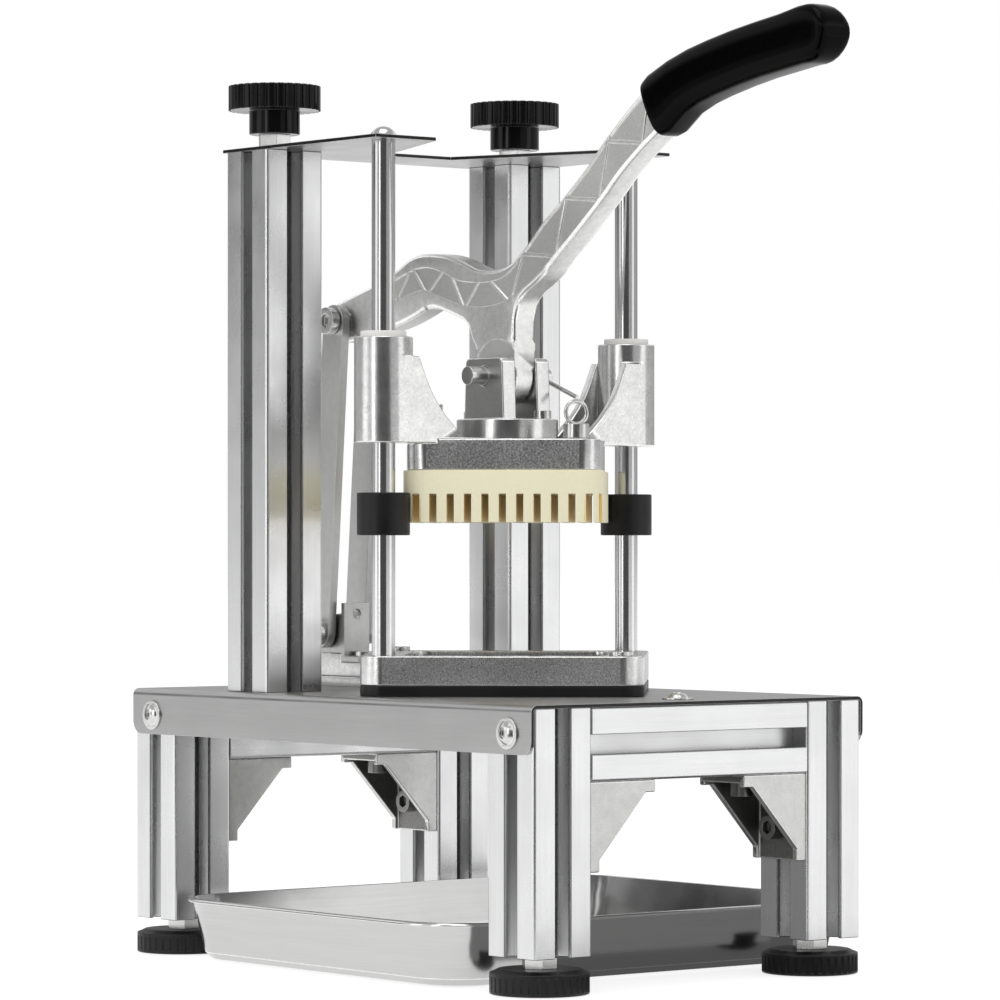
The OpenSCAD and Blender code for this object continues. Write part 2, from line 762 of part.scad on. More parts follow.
module guide_rod_left() { guide_rod(-1); }
module guide_rod_right() { guide_rod(1); }

module dome_nuts() {
    dome_r = (dome_d * dome_d / 4 + dome_h * dome_h) / (2 * dome_h);
    color([0.82, 0.83, 0.84]) for (sx = [-1, 1]) translate([sx * rod_x, 0, plate_top]) difference() {
        intersection() {
            cylinder(h = dome_h, d = dome_d);
            translate([0, 0, dome_h - dome_r]) sphere(dome_r);
        }
        translate([0, 0, -over]) cylinder(h = dome_h / 2 + over, d = rod_neck_d + 2 * seat_gap);
    }
}

module rod_nuts() {
    color([0.70, 0.71, 0.72]) for (sx = [-1, 1])
        translate([sx * rod_x, 0, leg_top - rod_flat_nut_h]) difference() {
            hexagon(hex_w, rod_flat_nut_h);
            translate([0, 0, -over]) cylinder(h = rod_flat_nut_h + 2 * over, d = rod_neck_d + 2 * seat_gap);
        }
}

// Holes for the rods and the frame screws, at the four corners
module frame_holes(z, h, rod_hole_d) {
    for (s = [-1, 1]) {
        translate([s * rod_x, 0, z - over]) cylinder(h = h + 2 * over, d = rod_hole_d);
        translate([s * screw_corner[0], s * screw_corner[1], z - over])
            cylinder(h = h + 2 * over, d = frame_screw_shank_d + 2 * screw_gap);
    }
}

module frame_pad() {
    color([0.07, 0.07, 0.07]) difference() {
        translate([0, 0, table_z]) turned_slab(blade_frame_l, blade_frame_w, pad_t, frame_corner_r);
        translate([0, 0, table_z - over])
            turned_slab(table_opening_w, table_opening_w, pad_t + 2 * over, blade_opening_r);
        frame_holes(table_z, pad_t, rod_neck_d + 2 * screw_gap);
    }
}

module blade_frame() {
    color([0.66, 0.67, 0.68]) difference() {
        translate([0, 0, pad_top]) turned_slab(blade_frame_l, blade_frame_w, blade_frame_h, frame_corner_r);
        translate([0, 0, pad_top - over])
            turned_slab(blade_opening_w, blade_opening_w, blade_frame_h + 2 * over, blade_opening_r);
        for (turn = [0, 90])
            translate([0, 0, pad_top - over]) linear_extrude(blade_ceiling - pad_top + over)
                rotate(turn - frame_turn) square([blade_recess_w, blade_bar_l + 2 * face_gap], center = true);
        frame_holes(pad_top, blade_frame_h, rod_d + 2 * seat_gap);
    }
}

// Row of blades between two bars, running along the frame's side at the given turn
module blade_row(z, turn) {
    len = blade_opening_w + 2 * face_gap;
    translate([0, 0, z]) rotate(turn) {
        for (i = [0 : blade_count - 1])
            translate([i * blade_pitch - blade_span / 2 - blade_t / 2, -len / 2, 0])
                cube([blade_t, len, blade_h]);
        for (s = [-1, 1])
            translate([0, s * (len + blade_bar_t + 2 * seat_gap) / 2, blade_h / 2])
                cube([blade_bar_l, blade_bar_t, blade_h], center = true);
    }
}

module blade_set_lower() { color([0.75, 0.77, 0.80]) blade_row(blade_lower_z, 90 - frame_turn); }
module blade_set_upper() { color([0.75, 0.77, 0.80]) blade_row(blade_upper_z, -frame_turn); }

module frame_screws() {
    color([0.78, 0.79, 0.80]) for (s = [-1, 1])
        translate([s * screw_corner[0], s * screw_corner[1], frame_top]) difference() {
            union() {
                cylinder(h = frame_screw_h, d = frame_screw_d);
                translate([0, 0, leg_top - frame_top])
                    cylinder(h = frame_top - leg_top, d = frame_screw_shank_d);
            }
            translate([0, 0, frame_screw_h]) rotate(frame_turn)
                cube([2 * frame_screw_d, frame_screw_slot_w, frame_screw_h], center = true);
        }
}

module tail_screw_holes(z, h) {
    for (y = tail_screw_ys)
        translate([0, y, z - over]) cylinder(h = h + 2 * over, d = m5_low[0] + 2 * screw_gap);
}

module tail_spacer() {
    color([0.66, 0.67, 0.68]) difference() {
        translate([-tail_w / 2, tail_front, table_z]) cube([tail_w, tail_len, pad_t]);
        tail_screw_holes(table_z, pad_t);
    }
}

module tail_block() {
    color([0.66, 0.67, 0.68]) difference() {
        translate([-tail_w / 2, tail_front, pad_top]) cube([tail_w, tail_len, tail_h]);
        translate([-tail_w, tail_front - over, tail_ledge])
            cube([2 * tail_w, bracket_front + bracket_web_t - tail_front + over, tail_h]);
        tail_screw_holes(pad_top, tail_h);
    }
}

// Bent bracket that carries the links' lower pivot, with a drilled tab at the front
module link_bracket() {
    depth = bracket_back - bracket_front;
    web_z = tail_ledge;
    color([0.64, 0.65, 0.66]) difference() {
        union() {
            translate([-bracket_out_w / 2, bracket_front, web_z])
                cube([bracket_out_w, bracket_web_t, tail_top + bracket_tall - web_z]);
            for (x = [-bracket_out_w / 2, bracket_out_w / 2 - bracket_web_t])
                translate([x, bracket_front, tail_top])
                    cube([bracket_web_t, depth, link_pivot_h + link_pivot_d]);
            translate([-bracket_out_w / 2, bracket_front - tail_foot_l, web_z])
                cube([bracket_out_w, tail_foot_l, bracket_web_t]);
            translate([-bracket_out_w / 2, bracket_front, tail_top])
                cube([bracket_out_w, depth, bracket_web_t]);
        }
        translate([-bracket_out_w, link_back, link_z]) rotate([0, 90, 0])
            cylinder(h = 2 * bracket_out_w, d = link_pivot_d + 2 * seat_gap);
        translate([0, bracket_front - over, tail_top + bracket_tall - tab_hole_drop]) rotate([-90, 0, 0])
            cylinder(h = bracket_web_t + 2 * over, d = tab_hole_d);
        for (i = [0, 1])
            translate([0, tail_screw_ys[i], tail_screw_seats[i] - bracket_web_t - over])
                cylinder(h = bracket_web_t + 2 * over, d = m5_low[0] + 2 * screw_gap);
    }
}

module link_lower_pin() {
    color([0.60, 0.60, 0.62]) translate([-bracket_out_w / 2, link_back, link_z]) rotate([0, 90, 0])
        cylinder(h = bracket_out_w, d = link_pivot_d);
}

module tail_screws() {
    color([0.78, 0.79, 0.80]) for (i = [0, 1])
        translate([0, tail_screw_ys[i], tail_screw_seats[i]])
            socket_screw(m5_low, tail_screw_seats[i] - leg_top);
}

// Side rib of a boss, in the plane of X and Z
module boss_rib_outline() {
    top = rod_x - boss_rib_top_share * boss_d;
    rise = boss_rib_h - arm_floor_t;
    polygon(concat(
        [[rod_x, 0], [top - boss_rib_l, 0]],
        [for (q = boss_rib_shares) [top + (q[0] - 1) * boss_rib_l, arm_floor_t + q[1] * rise]],
        [[rod_x, boss_rib_h]]
    ));
}

module head_casting() {
    color([0.72, 0.73, 0.74]) difference() {
        union() {
            translate([0, 0, pusher_top])
                turned_slab(head_body_w, head_body_w, head_body_h, head_corner_r);
            translate([-rod_x, -boss_d / 2, body_top - arm_floor_t]) cube([rod_span, boss_d, arm_floor_t]);
            for (sx = [-1, 1]) {
                translate([sx * rod_x, 0, boss_z]) cylinder(h = boss_h, d = boss_d);
                for (sy = [-1, 1])
                    translate([0, sy * (boss_d - boss_rib_t) / 2 + boss_rib_t / 2, boss_z])
                        mirror([sx < 0 ? 1 : 0, 0, 0]) rotate([90, 0, 0])
                            linear_extrude(boss_rib_t) boss_rib_outline();
            }
        }
        for (sx = [-1, 1])
            translate([sx * rod_x, 0, boss_z - over])
                cylinder(h = boss_h + 2 * over, d = bush_d + 2 * seat_gap);
        for (s = [-1, 1]) {
            translate([0, s * plunger_at, pusher_top - over])
                cylinder(h = head_body_h + 2 * over, d = plunger_d + 2 * run_gap);
            translate([s * clevis_screw_x, -s * clevis_screw_y, pusher_top + over])
                cylinder(h = head_body_h, d = m5_cap[0] + 2 * seat_gap);
        }
    }
}

module guide_bushes() {
    color([0.93, 0.93, 0.92]) for (sx = [-1, 1]) translate([sx * rod_x, 0, boss_z]) difference() {
        union() {
            cylinder(h = boss_h, d = bush_d);
            translate([0, 0, boss_h]) cylinder(h = bush_lip_t, d = bush_lip_d);
        }
        translate([0, 0, -over]) cylinder(h = boss_h + bush_lip_t + 2 * over, d = rod_d + 2 * run_gap);
    }
}

module pusher_block() {
    color([0.93, 0.90, 0.78]) difference() {
        translate([0, 0, tooth_z])
            turned_slab(pusher_w, pusher_w, tooth_h + pusher_solid_h, pusher_corner_r);
        for (turn = [90 - frame_turn, -frame_turn], i = [0 : blade_count - 1])
            rotate(turn)
                translate([i * blade_pitch - (blade_span + groove_w) / 2, -pusher_w, tooth_z - over])
                    cube([groove_w, 2 * pusher_w, tooth_h + over]);
        for (s = [-1, 1])
            translate([0, s * plunger_at, pusher_top - plunger_nose - over])
                cylinder(h = plunger_nose + 2 * over, d = plunger_d + 2 * run_gap);
    }
}

// One ear of the clevis, in the plane of Y and Z, its foot at the origin
module ear_outline() {
    top = pivot_rise + ear_top;
    half = ear_d / 2;
    half_top = half * ear_top_share;
    r = ear_corner_r;
    polygon([
        [-half, 0], [half, 0], [half_top, top - r], [half_top - r, top], [r - half_top, top],
        [-half_top, top - r]
    ]);
    for (s = [-1, 1]) translate([s * (half_top - r), top - r]) circle(r);
}

module clevis() {
    color([0.68, 0.69, 0.70]) difference() {
        union() {
            translate([0, 0, body_top]) cylinder(h = clevis_foot_t, d = clevis_foot_d);
            for (sx = [-1, 1])
                translate([sx * (clevis_w - ear_t) / 2 - ear_t / 2, 0, clevis_top])
                    rotate([90, 0, 90]) linear_extrude(ear_t) ear_outline();
        }
        translate([-clevis_w, 0, pivot_z]) rotate([0, 90, 0])
            cylinder(h = 2 * clevis_w, d = pivot_d + 2 * run_gap);
        for (s = [-1, 1])
            translate([s * clevis_screw_x, -s * clevis_screw_y, body_top - over])
                cylinder(h = clevis_foot_t + 2 * over, d = m5_cap[0] + 2 * seat_gap);
    }
}

module clevis_screws() {
    color([0.78, 0.79, 0.80]) for (s = [-1, 1])
        translate([s * clevis_screw_x, -s * clevis_screw_y, clevis_top])
            socket_screw(m5_cap, clevis_foot_t + head_body_h / 2);
}

module pivot_pin() {
    color([0.55, 0.55, 0.57]) difference() {
        translate([-pivot_pin_len / 2, 0, pivot_z]) rotate([0, 90, 0])
            cylinder(h = pivot_pin_len, d = pivot_d);
        translate([split_pin_at, 0, pivot_z]) rotate([90 + split_pin_tilt, 0, 0])
            cylinder(h = 2 * pivot_d, d = split_pin_d + 2 * seat_gap, center = true);
    }
}

module split_pin() {
    color([0.60, 0.60, 0.62]) translate([split_pin_at, 0, pivot_z]) rotate([90 + split_pin_tilt, 0, 0]) {
        translate([0, 0, -split_pin_rear]) cylinder(h = split_pin_rear + split_pin_front, d = split_pin_d);
        translate([0, 0, -split_pin_rear]) sphere(split_pin_d);
    }
}

// Spring plunger with an upright pull ring
module plunger(s, turn) {
    ring_z = plunger_collar_h + pull_ring_d / 2;
    color([0.78, 0.79, 0.80]) translate([0, s * plunger_at, body_top + face_gap]) {
        cylinder(h = plunger_collar_h, d = plunger_collar_d);
        translate([0, 0, -face_gap - head_body_h - plunger_nose])
            cylinder(h = face_gap + head_body_h + plunger_nose, d = plunger_d);
        translate([0, 0, ring_z - pull_ring_wire / 2]) rotate([90, 0, turn])
            rotate_extrude() translate([(pull_ring_d - pull_ring_wire) / 2, 0])
                circle(d = pull_ring_wire, $fn = 24);
    }
}

module plunger_front() { plunger(-1, plunger_turns[0]); }
module plunger_rear() { plunger(1, plunger_turns[1]); }

// Smooth curve through a row of points: each span is a cubic with its neighbours' slopes
function span_point(a, b, c, d, t) =
    0.5 * ((2 * b) + (c - a) * t + (2 * a - 5 * b + 4 * c - d) * t * t + (3 * b - a - 3 * c + d) * t * t * t);
function curve(p, n) = [
    for (i = [0 : len(p) - 2], k = [0 : n - 1])
        span_point(p[max(i - 1, 0)], p[i], p[i + 1], p[min(i + 2, len(p) - 1)], k / n),
    p[len(p) - 1]
];

// Lever lines from the share tables, in the plane of Y and Z from the pivot
function lever_line(rows) = [
    for (q = rows) [q[0] * lever_reach, q[1] * lever_rise, q[2] * lever_rise]
];
function line_dir(p, i) =
    let (a = p[max(i - 1, 0)], b = p[min(i + 1, len(p) - 1)], d = norm([b[0] - a[0], b[1] - a[1]]))
    [(b[0] - a[0]) / d, (b[1] - a[1]) / d];
function line_edge(p, i, side) =
    let (d = line_dir(p, i)) [p[i][0] - side * d[1] * p[i][2], p[i][1] + side * d[0] * p[i][2]];
function band_outline(p, share) = concat(
    [for (i = [0 : len(p) - 1]) line_edge(p, i, share)],
    [for (i = [len(p) - 1 : -1 : 0]) line_edge(p, i, -share)]
);

arm_line = curve(lever_line(arm_shares), steps_per_span);
grip_line = curve(lever_line(grip_shares), steps_per_span);

// Extrudes an outline of Y and Z to thickness t, centred on X = 0, at the lever's pivot
module lever_slab(t) {
    translate([-t / 2, 0, pivot_z]) rotate([90, 0, 90]) linear_extrude(t) children();
}

module grip_outline(share) {
    last = grip_line[len(grip_line) - 1];
    polygon(band_outline(grip_line, share));
    translate([last[0], last[1]]) circle(share * last[2]);
}

// The arm's pockets, with their ribs left standing
module pocket_outline() {
    difference() {
        polygon(band_outline(curve(lever_line(pocket_shares), steps_per_span), 1));
        for (q = rib_shares)
            rib([q[0] * lever_reach, q[1] * lever_rise], [q[2] * lever_reach, q[3] * lever_rise]);
    }
}

module rib(a, b) {
    d = (b - a) / norm(b - a);
    n = [-d[1], d[0]] * rib_w / 2;
    e = d * over;
    polygon([a - e + n, b + e + n, b + e - n, a - e - n]);
}

module lever() {
    tail = [tail_reach, tail_rise];
    color([0.70, 0.71, 0.72]) difference() {
        union() {
            lever_slab(arm_t) {
                polygon(band_outline(arm_line, 1));
                translate(tail) circle(tail_boss_r);
                polygon(curve([for (q = leg_shares) [q[0] * lever_reach, q[1] * lever_rise]], 1));
            }
            lever_slab(hub_t) circle(hub_r);
        }
        for (sx = [-1, 1])
            translate([sx * (hub_t + arm_t) / 2, 0, pivot_z]) rotate([0, 90, 0])
                cylinder(h = arm_t, r = hub_relief_r, center = true);
        for (sx = [-1, 1])
            translate([sx * (arm_t / 2 - pocket_depth / 2 + over / 2), 0, 0])
                lever_slab(pocket_depth + over) pocket_outline();
        translate([-arm_t, 0, pivot_z]) rotate([0, 90, 0]) cylinder(h = 2 * arm_t, d = pivot_d + 2 * run_gap);
        translate([-arm_t, tail_reach, pivot_z + tail_rise]) rotate([0, 90, 0])
            cylinder(h = 2 * arm_t, d = link_pivot_d + 2 * seat_gap);
    }
}

module grip() {
    color([0.04, 0.04, 0.04]) difference() {
        for (q = grip_layer_shares) lever_slab(q[0] * grip_w) grip_outline(q[1]);
        lever_slab(arm_t + 2 * grip_core_clear) polygon(band_outline(
            [for (q = arm_line) [q[0], q[1], q[2] + grip_core_clear]], 1));
    }
}

// Flat link with round ends between two points of the Y and Z plane
module link_bar(a, b) {
    d = (b - a) / norm(b - a);
    n = [-d[1], d[0]] * link_w / 2;
    difference() {
        union() {
            polygon([a + n, b + n, b - n, a - n]);
            for (p = [a, b]) translate(p) circle(d = link_w);
        }
        for (p = [a, b]) translate(p) circle(d = link_pivot_d + 2 * run_gap);
    }
}

module links() {
    color([0.66, 0.67, 0.68]) for (sx = [-1, 1])
        translate([sx * (link_gap + link_t) / 2 - link_t / 2, 0, 0])
            rotate([90, 0, 90]) linear_extrude(link_t) link_bar(link_lower, link_upper);
}

module link_top_bolt() {
    half = link_gap / 2 + link_t + face_gap;
    color([0.60, 0.60, 0.62]) translate([0, link_upper[0], link_upper[1]]) rotate([0, 90, 0]) {
        translate([0, 0, -half]) cylinder(h = 2 * half, d = link_pivot_d);
        translate([0, 0, half]) hexagon(hex_w, link_screw_kind[2]);
        translate([0, 0, -half]) mirror([0, 0, 1])
            socket_screw(link_screw_kind, 0);
    }
}

module link_lower_screws() {
    tip = bracket_out_w / 2 + face_gap;
    color([0.60, 0.60, 0.62]) for (sx = [-1, 1])
        translate([sx * (link_gap / 2 + link_t), link_lower[0], link_lower[1]]) rotate([0, sx * 90, 0])
            socket_screw(link_screw_kind, link_gap / 2 + link_t - tip);
}

module bumper(sx) {
    color([0.07, 0.07, 0.07]) translate([sx * rod_x, 0, bumper_z]) difference() {
        cylinder(h = bumper_h, d = bumper_d);
        translate([0, 0, -over]) cylinder(h = bumper_h + 2 * over, d = rod_d + 2 * run_gap);
    }
}

module bumper_left() { bumper(-1); }
module bumper_right() { bumper(1); }

// Section of the tray's wall, from the corner's centre outwards
module tray_section() {
    r = tray_corner_r;
    rim = tray_rim_share * r;
    slope = 0.16 * r;
    foot = r - rim - slope;
    bend = 0.3 * r;
    polygon([
        [foot - bend, 0], [foot - 0.45 * bend, 0.08 * bend], [foot - 0.1 * bend, 0.4 * bend],
        [foot + 0.05 * bend, bend], [r - rim, tray_h - tray_t], [r, tray_h - 2 * tray_t],
        [r, tray_h - tray_t], [r - rim / 2, tray_h], [r - rim - tray_t, tray_h],
        [foot + 0.05 * bend - tray_t, bend], [foot - 0.1 * bend - tray_t, 0.4 * bend + tray_t],
        [foot - 0.45 * bend, 0.08 * bend + tray_t], [foot - bend, tray_t]
    ]);
}

module tray() {
    r = tray_corner_r;
    flat_r = r - (tray_rim_share + 0.16 + 0.3) * r;
    inset = r - flat_r;
    color([0.72, 0.73, 0.74]) translate([tray_offset, tray_back, 0]) {
        rounded_band(tray_l, tray_w, r) tray_section();
        rounded_slab(tray_l - 2 * inset, tray_w - 2 * inset, tray_t, flat_r);
    }
}

leg_front_left();
leg_front_right();
leg_rear_left();
leg_rear_right();
front_beam();
rear_beam();
corner_brackets();
bracket_screws();
slot_nuts();
table_plate();
button_screws();
foot_pad_front_left();
foot_pad_front_right();
foot_pad_rear_left();
foot_pad_rear_right();
foot_stud_front_left();
foot_stud_front_right();
foot_stud_rear_left();
foot_stud_rear_right();
column_left();
column_right();
column_screws();
top_plate();
knob_left();
knob_right();
knob_stud_left();
knob_stud_right();
guide_rod_left();
guide_rod_right();
dome_nuts();
rod_nuts();
frame_pad();
blade_frame();
blade_set_lower();
blade_set_upper();
frame_screws();
tail_spacer();
tail_block();
link_bracket();
link_lower_pin();
tail_screws();
head_casting();
guide_bushes();
pusher_block();
clevis();
clevis_screws();
pivot_pin();
split_pin();
plunger_front();
plunger_rear();
lever();
grip();
links();
link_top_bolt();
link_lower_screws();
bumper_left();
bumper_right();
tray();
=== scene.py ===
"""Looks of a lever-operated french fry cutter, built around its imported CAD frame.

Every CAD node that shows gets a merged copy with softened edges and a procedural finish. The grip
is modelled here. The stage is a white sweep with softboxes and grey flags, as in a product studio.
"""

import json
import math

import bmesh
import bpy
from bpy.props import FloatProperty, FloatVectorProperty, IntProperty, PointerProperty
from mathutils import Matrix, Vector
from mathutils.bvhtree import BVHTree


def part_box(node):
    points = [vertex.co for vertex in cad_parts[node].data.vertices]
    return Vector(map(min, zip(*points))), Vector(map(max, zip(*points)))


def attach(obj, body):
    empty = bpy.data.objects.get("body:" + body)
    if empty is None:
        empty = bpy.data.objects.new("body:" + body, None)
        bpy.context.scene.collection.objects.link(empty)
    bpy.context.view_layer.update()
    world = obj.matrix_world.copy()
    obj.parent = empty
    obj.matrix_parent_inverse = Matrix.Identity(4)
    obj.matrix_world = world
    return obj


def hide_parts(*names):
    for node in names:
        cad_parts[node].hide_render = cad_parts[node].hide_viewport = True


bl_info = {
    "name": "French Fry Cutter",
    "version": (1, 0, 0),
    "blender": (4, 5, 0),
    "location": "View3D > Sidebar > Fry Cutter",
    "description": "Dresses the parts of a lever-operated french fry cutter",
    "category": "Object",
}

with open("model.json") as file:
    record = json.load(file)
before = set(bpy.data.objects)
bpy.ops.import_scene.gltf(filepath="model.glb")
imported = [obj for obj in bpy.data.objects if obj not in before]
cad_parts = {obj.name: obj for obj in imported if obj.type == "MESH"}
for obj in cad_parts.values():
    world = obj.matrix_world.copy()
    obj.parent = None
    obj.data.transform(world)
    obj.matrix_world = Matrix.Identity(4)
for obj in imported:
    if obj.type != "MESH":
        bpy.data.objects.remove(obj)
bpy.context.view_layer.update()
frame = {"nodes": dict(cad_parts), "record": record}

# Body that each node rides on
BODY_OF = {
    node: body
    for body, nodes in frame["record"]["behaviour"]["bodies"].items()
    for node in nodes
}
# Lever's pivot in the head, and the turn of the cutting frame and the head about Z
PIVOT = Vector((0, 0, 0.2524))
FRAME_TURN = math.radians(-41.67)
# Top of the head's square block, under the clevis
BLOCK_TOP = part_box("clevis")[0].z
# Grooves of the pusher: their depth, half the pusher's side, and its round corners
GROOVE_DEPTH = 0.0121
GROOVE_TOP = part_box("pusher_block")[0].z + GROOVE_DEPTH
GROOVE_ROOM = 0.0005
PUSHER_HALF = 0.0425
PUSHER_SKIN = 0.0003
CORNER = 0.006
# Width of a corner bracket and thickness of its cheeks
BRACKET_WIDTH = 0.028
BRACKET_WALL = 0.002
# How far below a profile's outer faces its slots begin
SLOT_DEPTH = 0.0012
# Lever's reach and rise from its pivot, the least depth of its pockets, and where its tail begins
LEVER_REACH = -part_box("grip")[0].y
LEVER_RISE = 0.131
POCKET_LEAST = 0.0004
TAIL_FROM = 0.032


# Settings


def length(name, text, default, low, high):
    """A length setting in metres."""
    return FloatProperty(
        name=name, description=text, default=default, min=low, max=high, unit="LENGTH", subtype="DISTANCE"
    )


def colour(name, text, *rgb):
    """A colour setting."""
    return FloatVectorProperty(
        name=name, description=text, default=rgb, min=0.0, max=1.0, size=3, subtype="COLOR"
    )


class FryCutterSizes(bpy.types.PropertyGroup):
    """Sizes of what the finishing pass rounds off or adds."""

    profile_edge: length("Profile edges", "Softening of the slotted profiles' edges", 0.0003, 0, 0.001)
    sheet_edge: length("Sheet edges", "Softening of the sheets' edges", 0.00012, 0, 0.0005)
    casting_edge: length("Casting edges", "Rounding of the castings' edges", 0.0006, 0, 0.002)
    lever_edge: length("Lever edges", "Rounding of the lever's edges and ribs", 0.0017, 0, 0.002)
    pusher_edge: length("Pusher edges", "Softening of the pusher's teeth", 0.00035, 0, 0.001)
    small_edge: length("Fastener edges", "Softening of screws, nuts and pins", 0.0002, 0, 0.0005)
    moulded_edge: length("Moulded edges", "Rounding of knobs, feet and bumpers", 0.0005, 0, 0.001)
    grip_width: length(
        "Grip width", "Width of the grip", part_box("grip")[1].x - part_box("grip")[0].x, 0.012, 0.024
    )
    grip_sides: IntProperty(
        name="Grip sides", description="Sides of the grip's section", default=48, min=16, max=96
    )


class FryCutterColours(bpy.types.PropertyGroup):
    """Colours of the finishes."""

    profile: colour("Profile", "Satin aluminium of the profiles", 0.75, 0.752, 0.755)
    # The insides of the profiles' slots, painted darker as shade in the recesses.
    slot: colour("Slots", "Duller inside of the profiles' slots", 0.66, 0.662, 0.665)
    casting: colour("Casting", "Smooth faces of the cast aluminium", 0.70, 0.70, 0.695)
    # Painted shade on the ears' side faces along X, inside and out.
    ear: colour("Ears", "Duller outer faces of the clevis ears", 0.46, 0.458, 0.45)
    sand: colour("Sand-cast faces", "Coarse faces of the castings", 0.68, 0.677, 0.67)
    lever: colour("Lever", "Blasted cast lever", 0.78, 0.778, 0.77)
    # Painted shade on the floors of the lever's pockets and under its tail.
    pocket_shade: colour("Pockets", "Floors of the lever's pockets", 0.62, 0.618, 0.61)
    sheet: colour("Sheet", "Brushed steel of the table", 0.43, 0.43, 0.428)
    link: colour("Links", "Ground steel of the links and their bracket", 0.52, 0.52, 0.515)
    tray: colour("Tray", "Brushed stainless steel of the tray", 0.57, 0.57, 0.566)
    chrome: colour("Rods", "Polished steel of the guide rods", 0.64, 0.64, 0.64)
    dark_screw: colour("Bracket screws", "Dull steel of the screws in the brackets", 0.24, 0.24, 0.235)
    zinc: colour("Fasteners", "Zinc-plated screws and nuts", 0.66, 0.66, 0.65)
    blade: colour("Blades", "Ground blade steel", 0.70, 0.70, 0.69)
    ivory: colour("Pusher", "Ivory plastic of the pusher", 0.88, 0.83, 0.60)
    # Painted warm shade inside the pusher's grooves, standing for light bounced between its teeth.
    groove_shade: colour("Grooves", "Warm shade inside the pusher's grooves", 0.90, 0.66, 0.24)
    cut_edge: colour("Cut edges", "Dark cut edges of the sheets", 0.035, 0.035, 0.034)
    bracket: colour("Brackets", "Outer faces of the corner brackets", 0.60, 0.598, 0.59)
    # Painted shade inside the corner brackets, between their cheeks.
    inside: colour("Insides", "Dark insides of the corner brackets", 0.26, 0.257, 0.25)
    nylon: colour("Bushes", "White nylon of the bushes", 0.82, 0.81, 0.78)
    plastic: colour("Knobs", "Black plastic of the knobs", 0.004, 0.004, 0.004)
    rubber: colour("Rubber", "Black rubber of the feet and bumpers", 0.008, 0.008, 0.0085)
    grip: colour("Grip", "Glossy black vinyl of the grip", 0.0015, 0.0015, 0.0015)


def sizes():
    """The scene's size settings."""
    return bpy.context.scene.fry_cutter_sizes


def colours():
    """The scene's colour settings."""
    return bpy.context.scene.fry_cutter_colours


# Effects as node groups


def new_group(name, inputs, outputs):
    """An empty shader node group with its sockets, and its input and output nodes."""
    tree = bpy.data.node_groups.new(name, "ShaderNodeTree")
    for label, kind, value in inputs:
        socket = tree.interface.new_socket(label, in_out="INPUT", socket_type=kind)
        if value is not None:
            socket.default_value = value
    for label, kind in outputs:
        tree.interface.new_socket(label, in_out="OUTPUT", socket_type=kind)
    return tree, tree.nodes.new("NodeGroupInput"), tree.nodes.new("NodeGroupOutput")


def noise(tree, vector, scale, detail=2.0, rough=0.5):
    """A noise texture on a vector socket; scale is a number or a socket."""
    node = tree.nodes.new("ShaderNodeTexNoise")
    node.inputs["Detail"].default_value = detail
    node.inputs["Roughness"].default_value = rough
    tree.links.new(vector, node.inputs["Vector"])
    if isinstance(scale, float):
        node.inputs["Scale"].default_value = scale
    else:
        tree.links.new(scale, node.inputs["Scale"])
    return node.outputs["Fac"]


def maths(tree, operation, first, second, clamp=False):
    """One Math node; each side is a number or a socket."""
    node = tree.nodes.new("ShaderNodeMath")
    node.operation = operation
    node.use_clamp = clamp
    for socket, value in zip(node.inputs, (first, second)):
        if isinstance(value, (int, float)):
            socket.default_value = value
        else:
            tree.links.new(value, socket)
    return node.outputs[0]


def remap(tree, value, low, high, to_low=0.0, to_high=1.0, smooth=False):
    """A Map Range node from low..high to to_low..to_high."""
    node = tree.nodes.new("ShaderNodeMapRange")
    node.interpolation_type = "SMOOTHSTEP" if smooth else "LINEAR"
    tree.links.new(value, node.inputs["Value"])
    for socket, number in zip(("From Min", "From Max", "To Min", "To Max"), (low, high, to_low, to_high)):
        node.inputs[socket].default_value = number
    return node.outputs["Result"]


def blasted_group():
    """Grains of a blasted casting: a height and a mottle of light and dark grains."""
    tree, given, out = new_group(
        "Blasted grain",
        [("Vector", "NodeSocketVector", None), ("Grain", "NodeSocketFloat", 1500.0)],
        [("Height", "NodeSocketFloat"), ("Mottle", "NodeSocketFloat"), ("Sand", "NodeSocketFloat")],
    )
    fine = noise(tree, given.outputs["Vector"], given.outputs["Grain"], 3.0, 0.6)
    sand_scale = maths(tree, "MULTIPLY", given.outputs["Grain"], 1.3)
    sand = noise(tree, given.outputs["Vector"], sand_scale, 3.0, 0.7)
    tree.links.new(remap(tree, sand, 0.33, 0.67), out.inputs["Sand"])
    coarse = noise(tree, given.outputs["Vector"], maths(tree, "MULTIPLY", given.outputs["Grain"], 0.22), 2.0)
    tree.links.new(maths(tree, "ADD", fine, maths(tree, "MULTIPLY", coarse, 0.6)), out.inputs["Height"])
    both = maths(tree, "ADD", maths(tree, "MULTIPLY", fine, 0.6), maths(tree, "MULTIPLY", coarse, 0.4))
    tree.links.new(remap(tree, both, 0.36, 0.64), out.inputs["Mottle"])
    return tree


def drawn_group():
    """Fine lines along one direction, as on drawn or brushed metal."""
    tree, given, out = new_group(
        "Drawn lines",
        [("Vector", "NodeSocketVector", None), ("Grain", "NodeSocketFloat", 1.0)],
        [("Height", "NodeSocketFloat"), ("Mottle", "NodeSocketFloat")],
    )
    lines = noise(tree, given.outputs["Vector"], given.outputs["Grain"], 3.0, 0.65)
    bands = noise(tree, given.outputs["Vector"], maths(tree, "MULTIPLY", given.outputs["Grain"], 0.12), 1.0)
    tree.links.new(lines, out.inputs["Height"])
    both = maths(tree, "ADD", maths(tree, "MULTIPLY", lines, 0.65), maths(tree, "MULTIPLY", bands, 0.35))
    tree.links.new(remap(tree, both, 0.34, 0.66), out.inputs["Mottle"])
    return tree


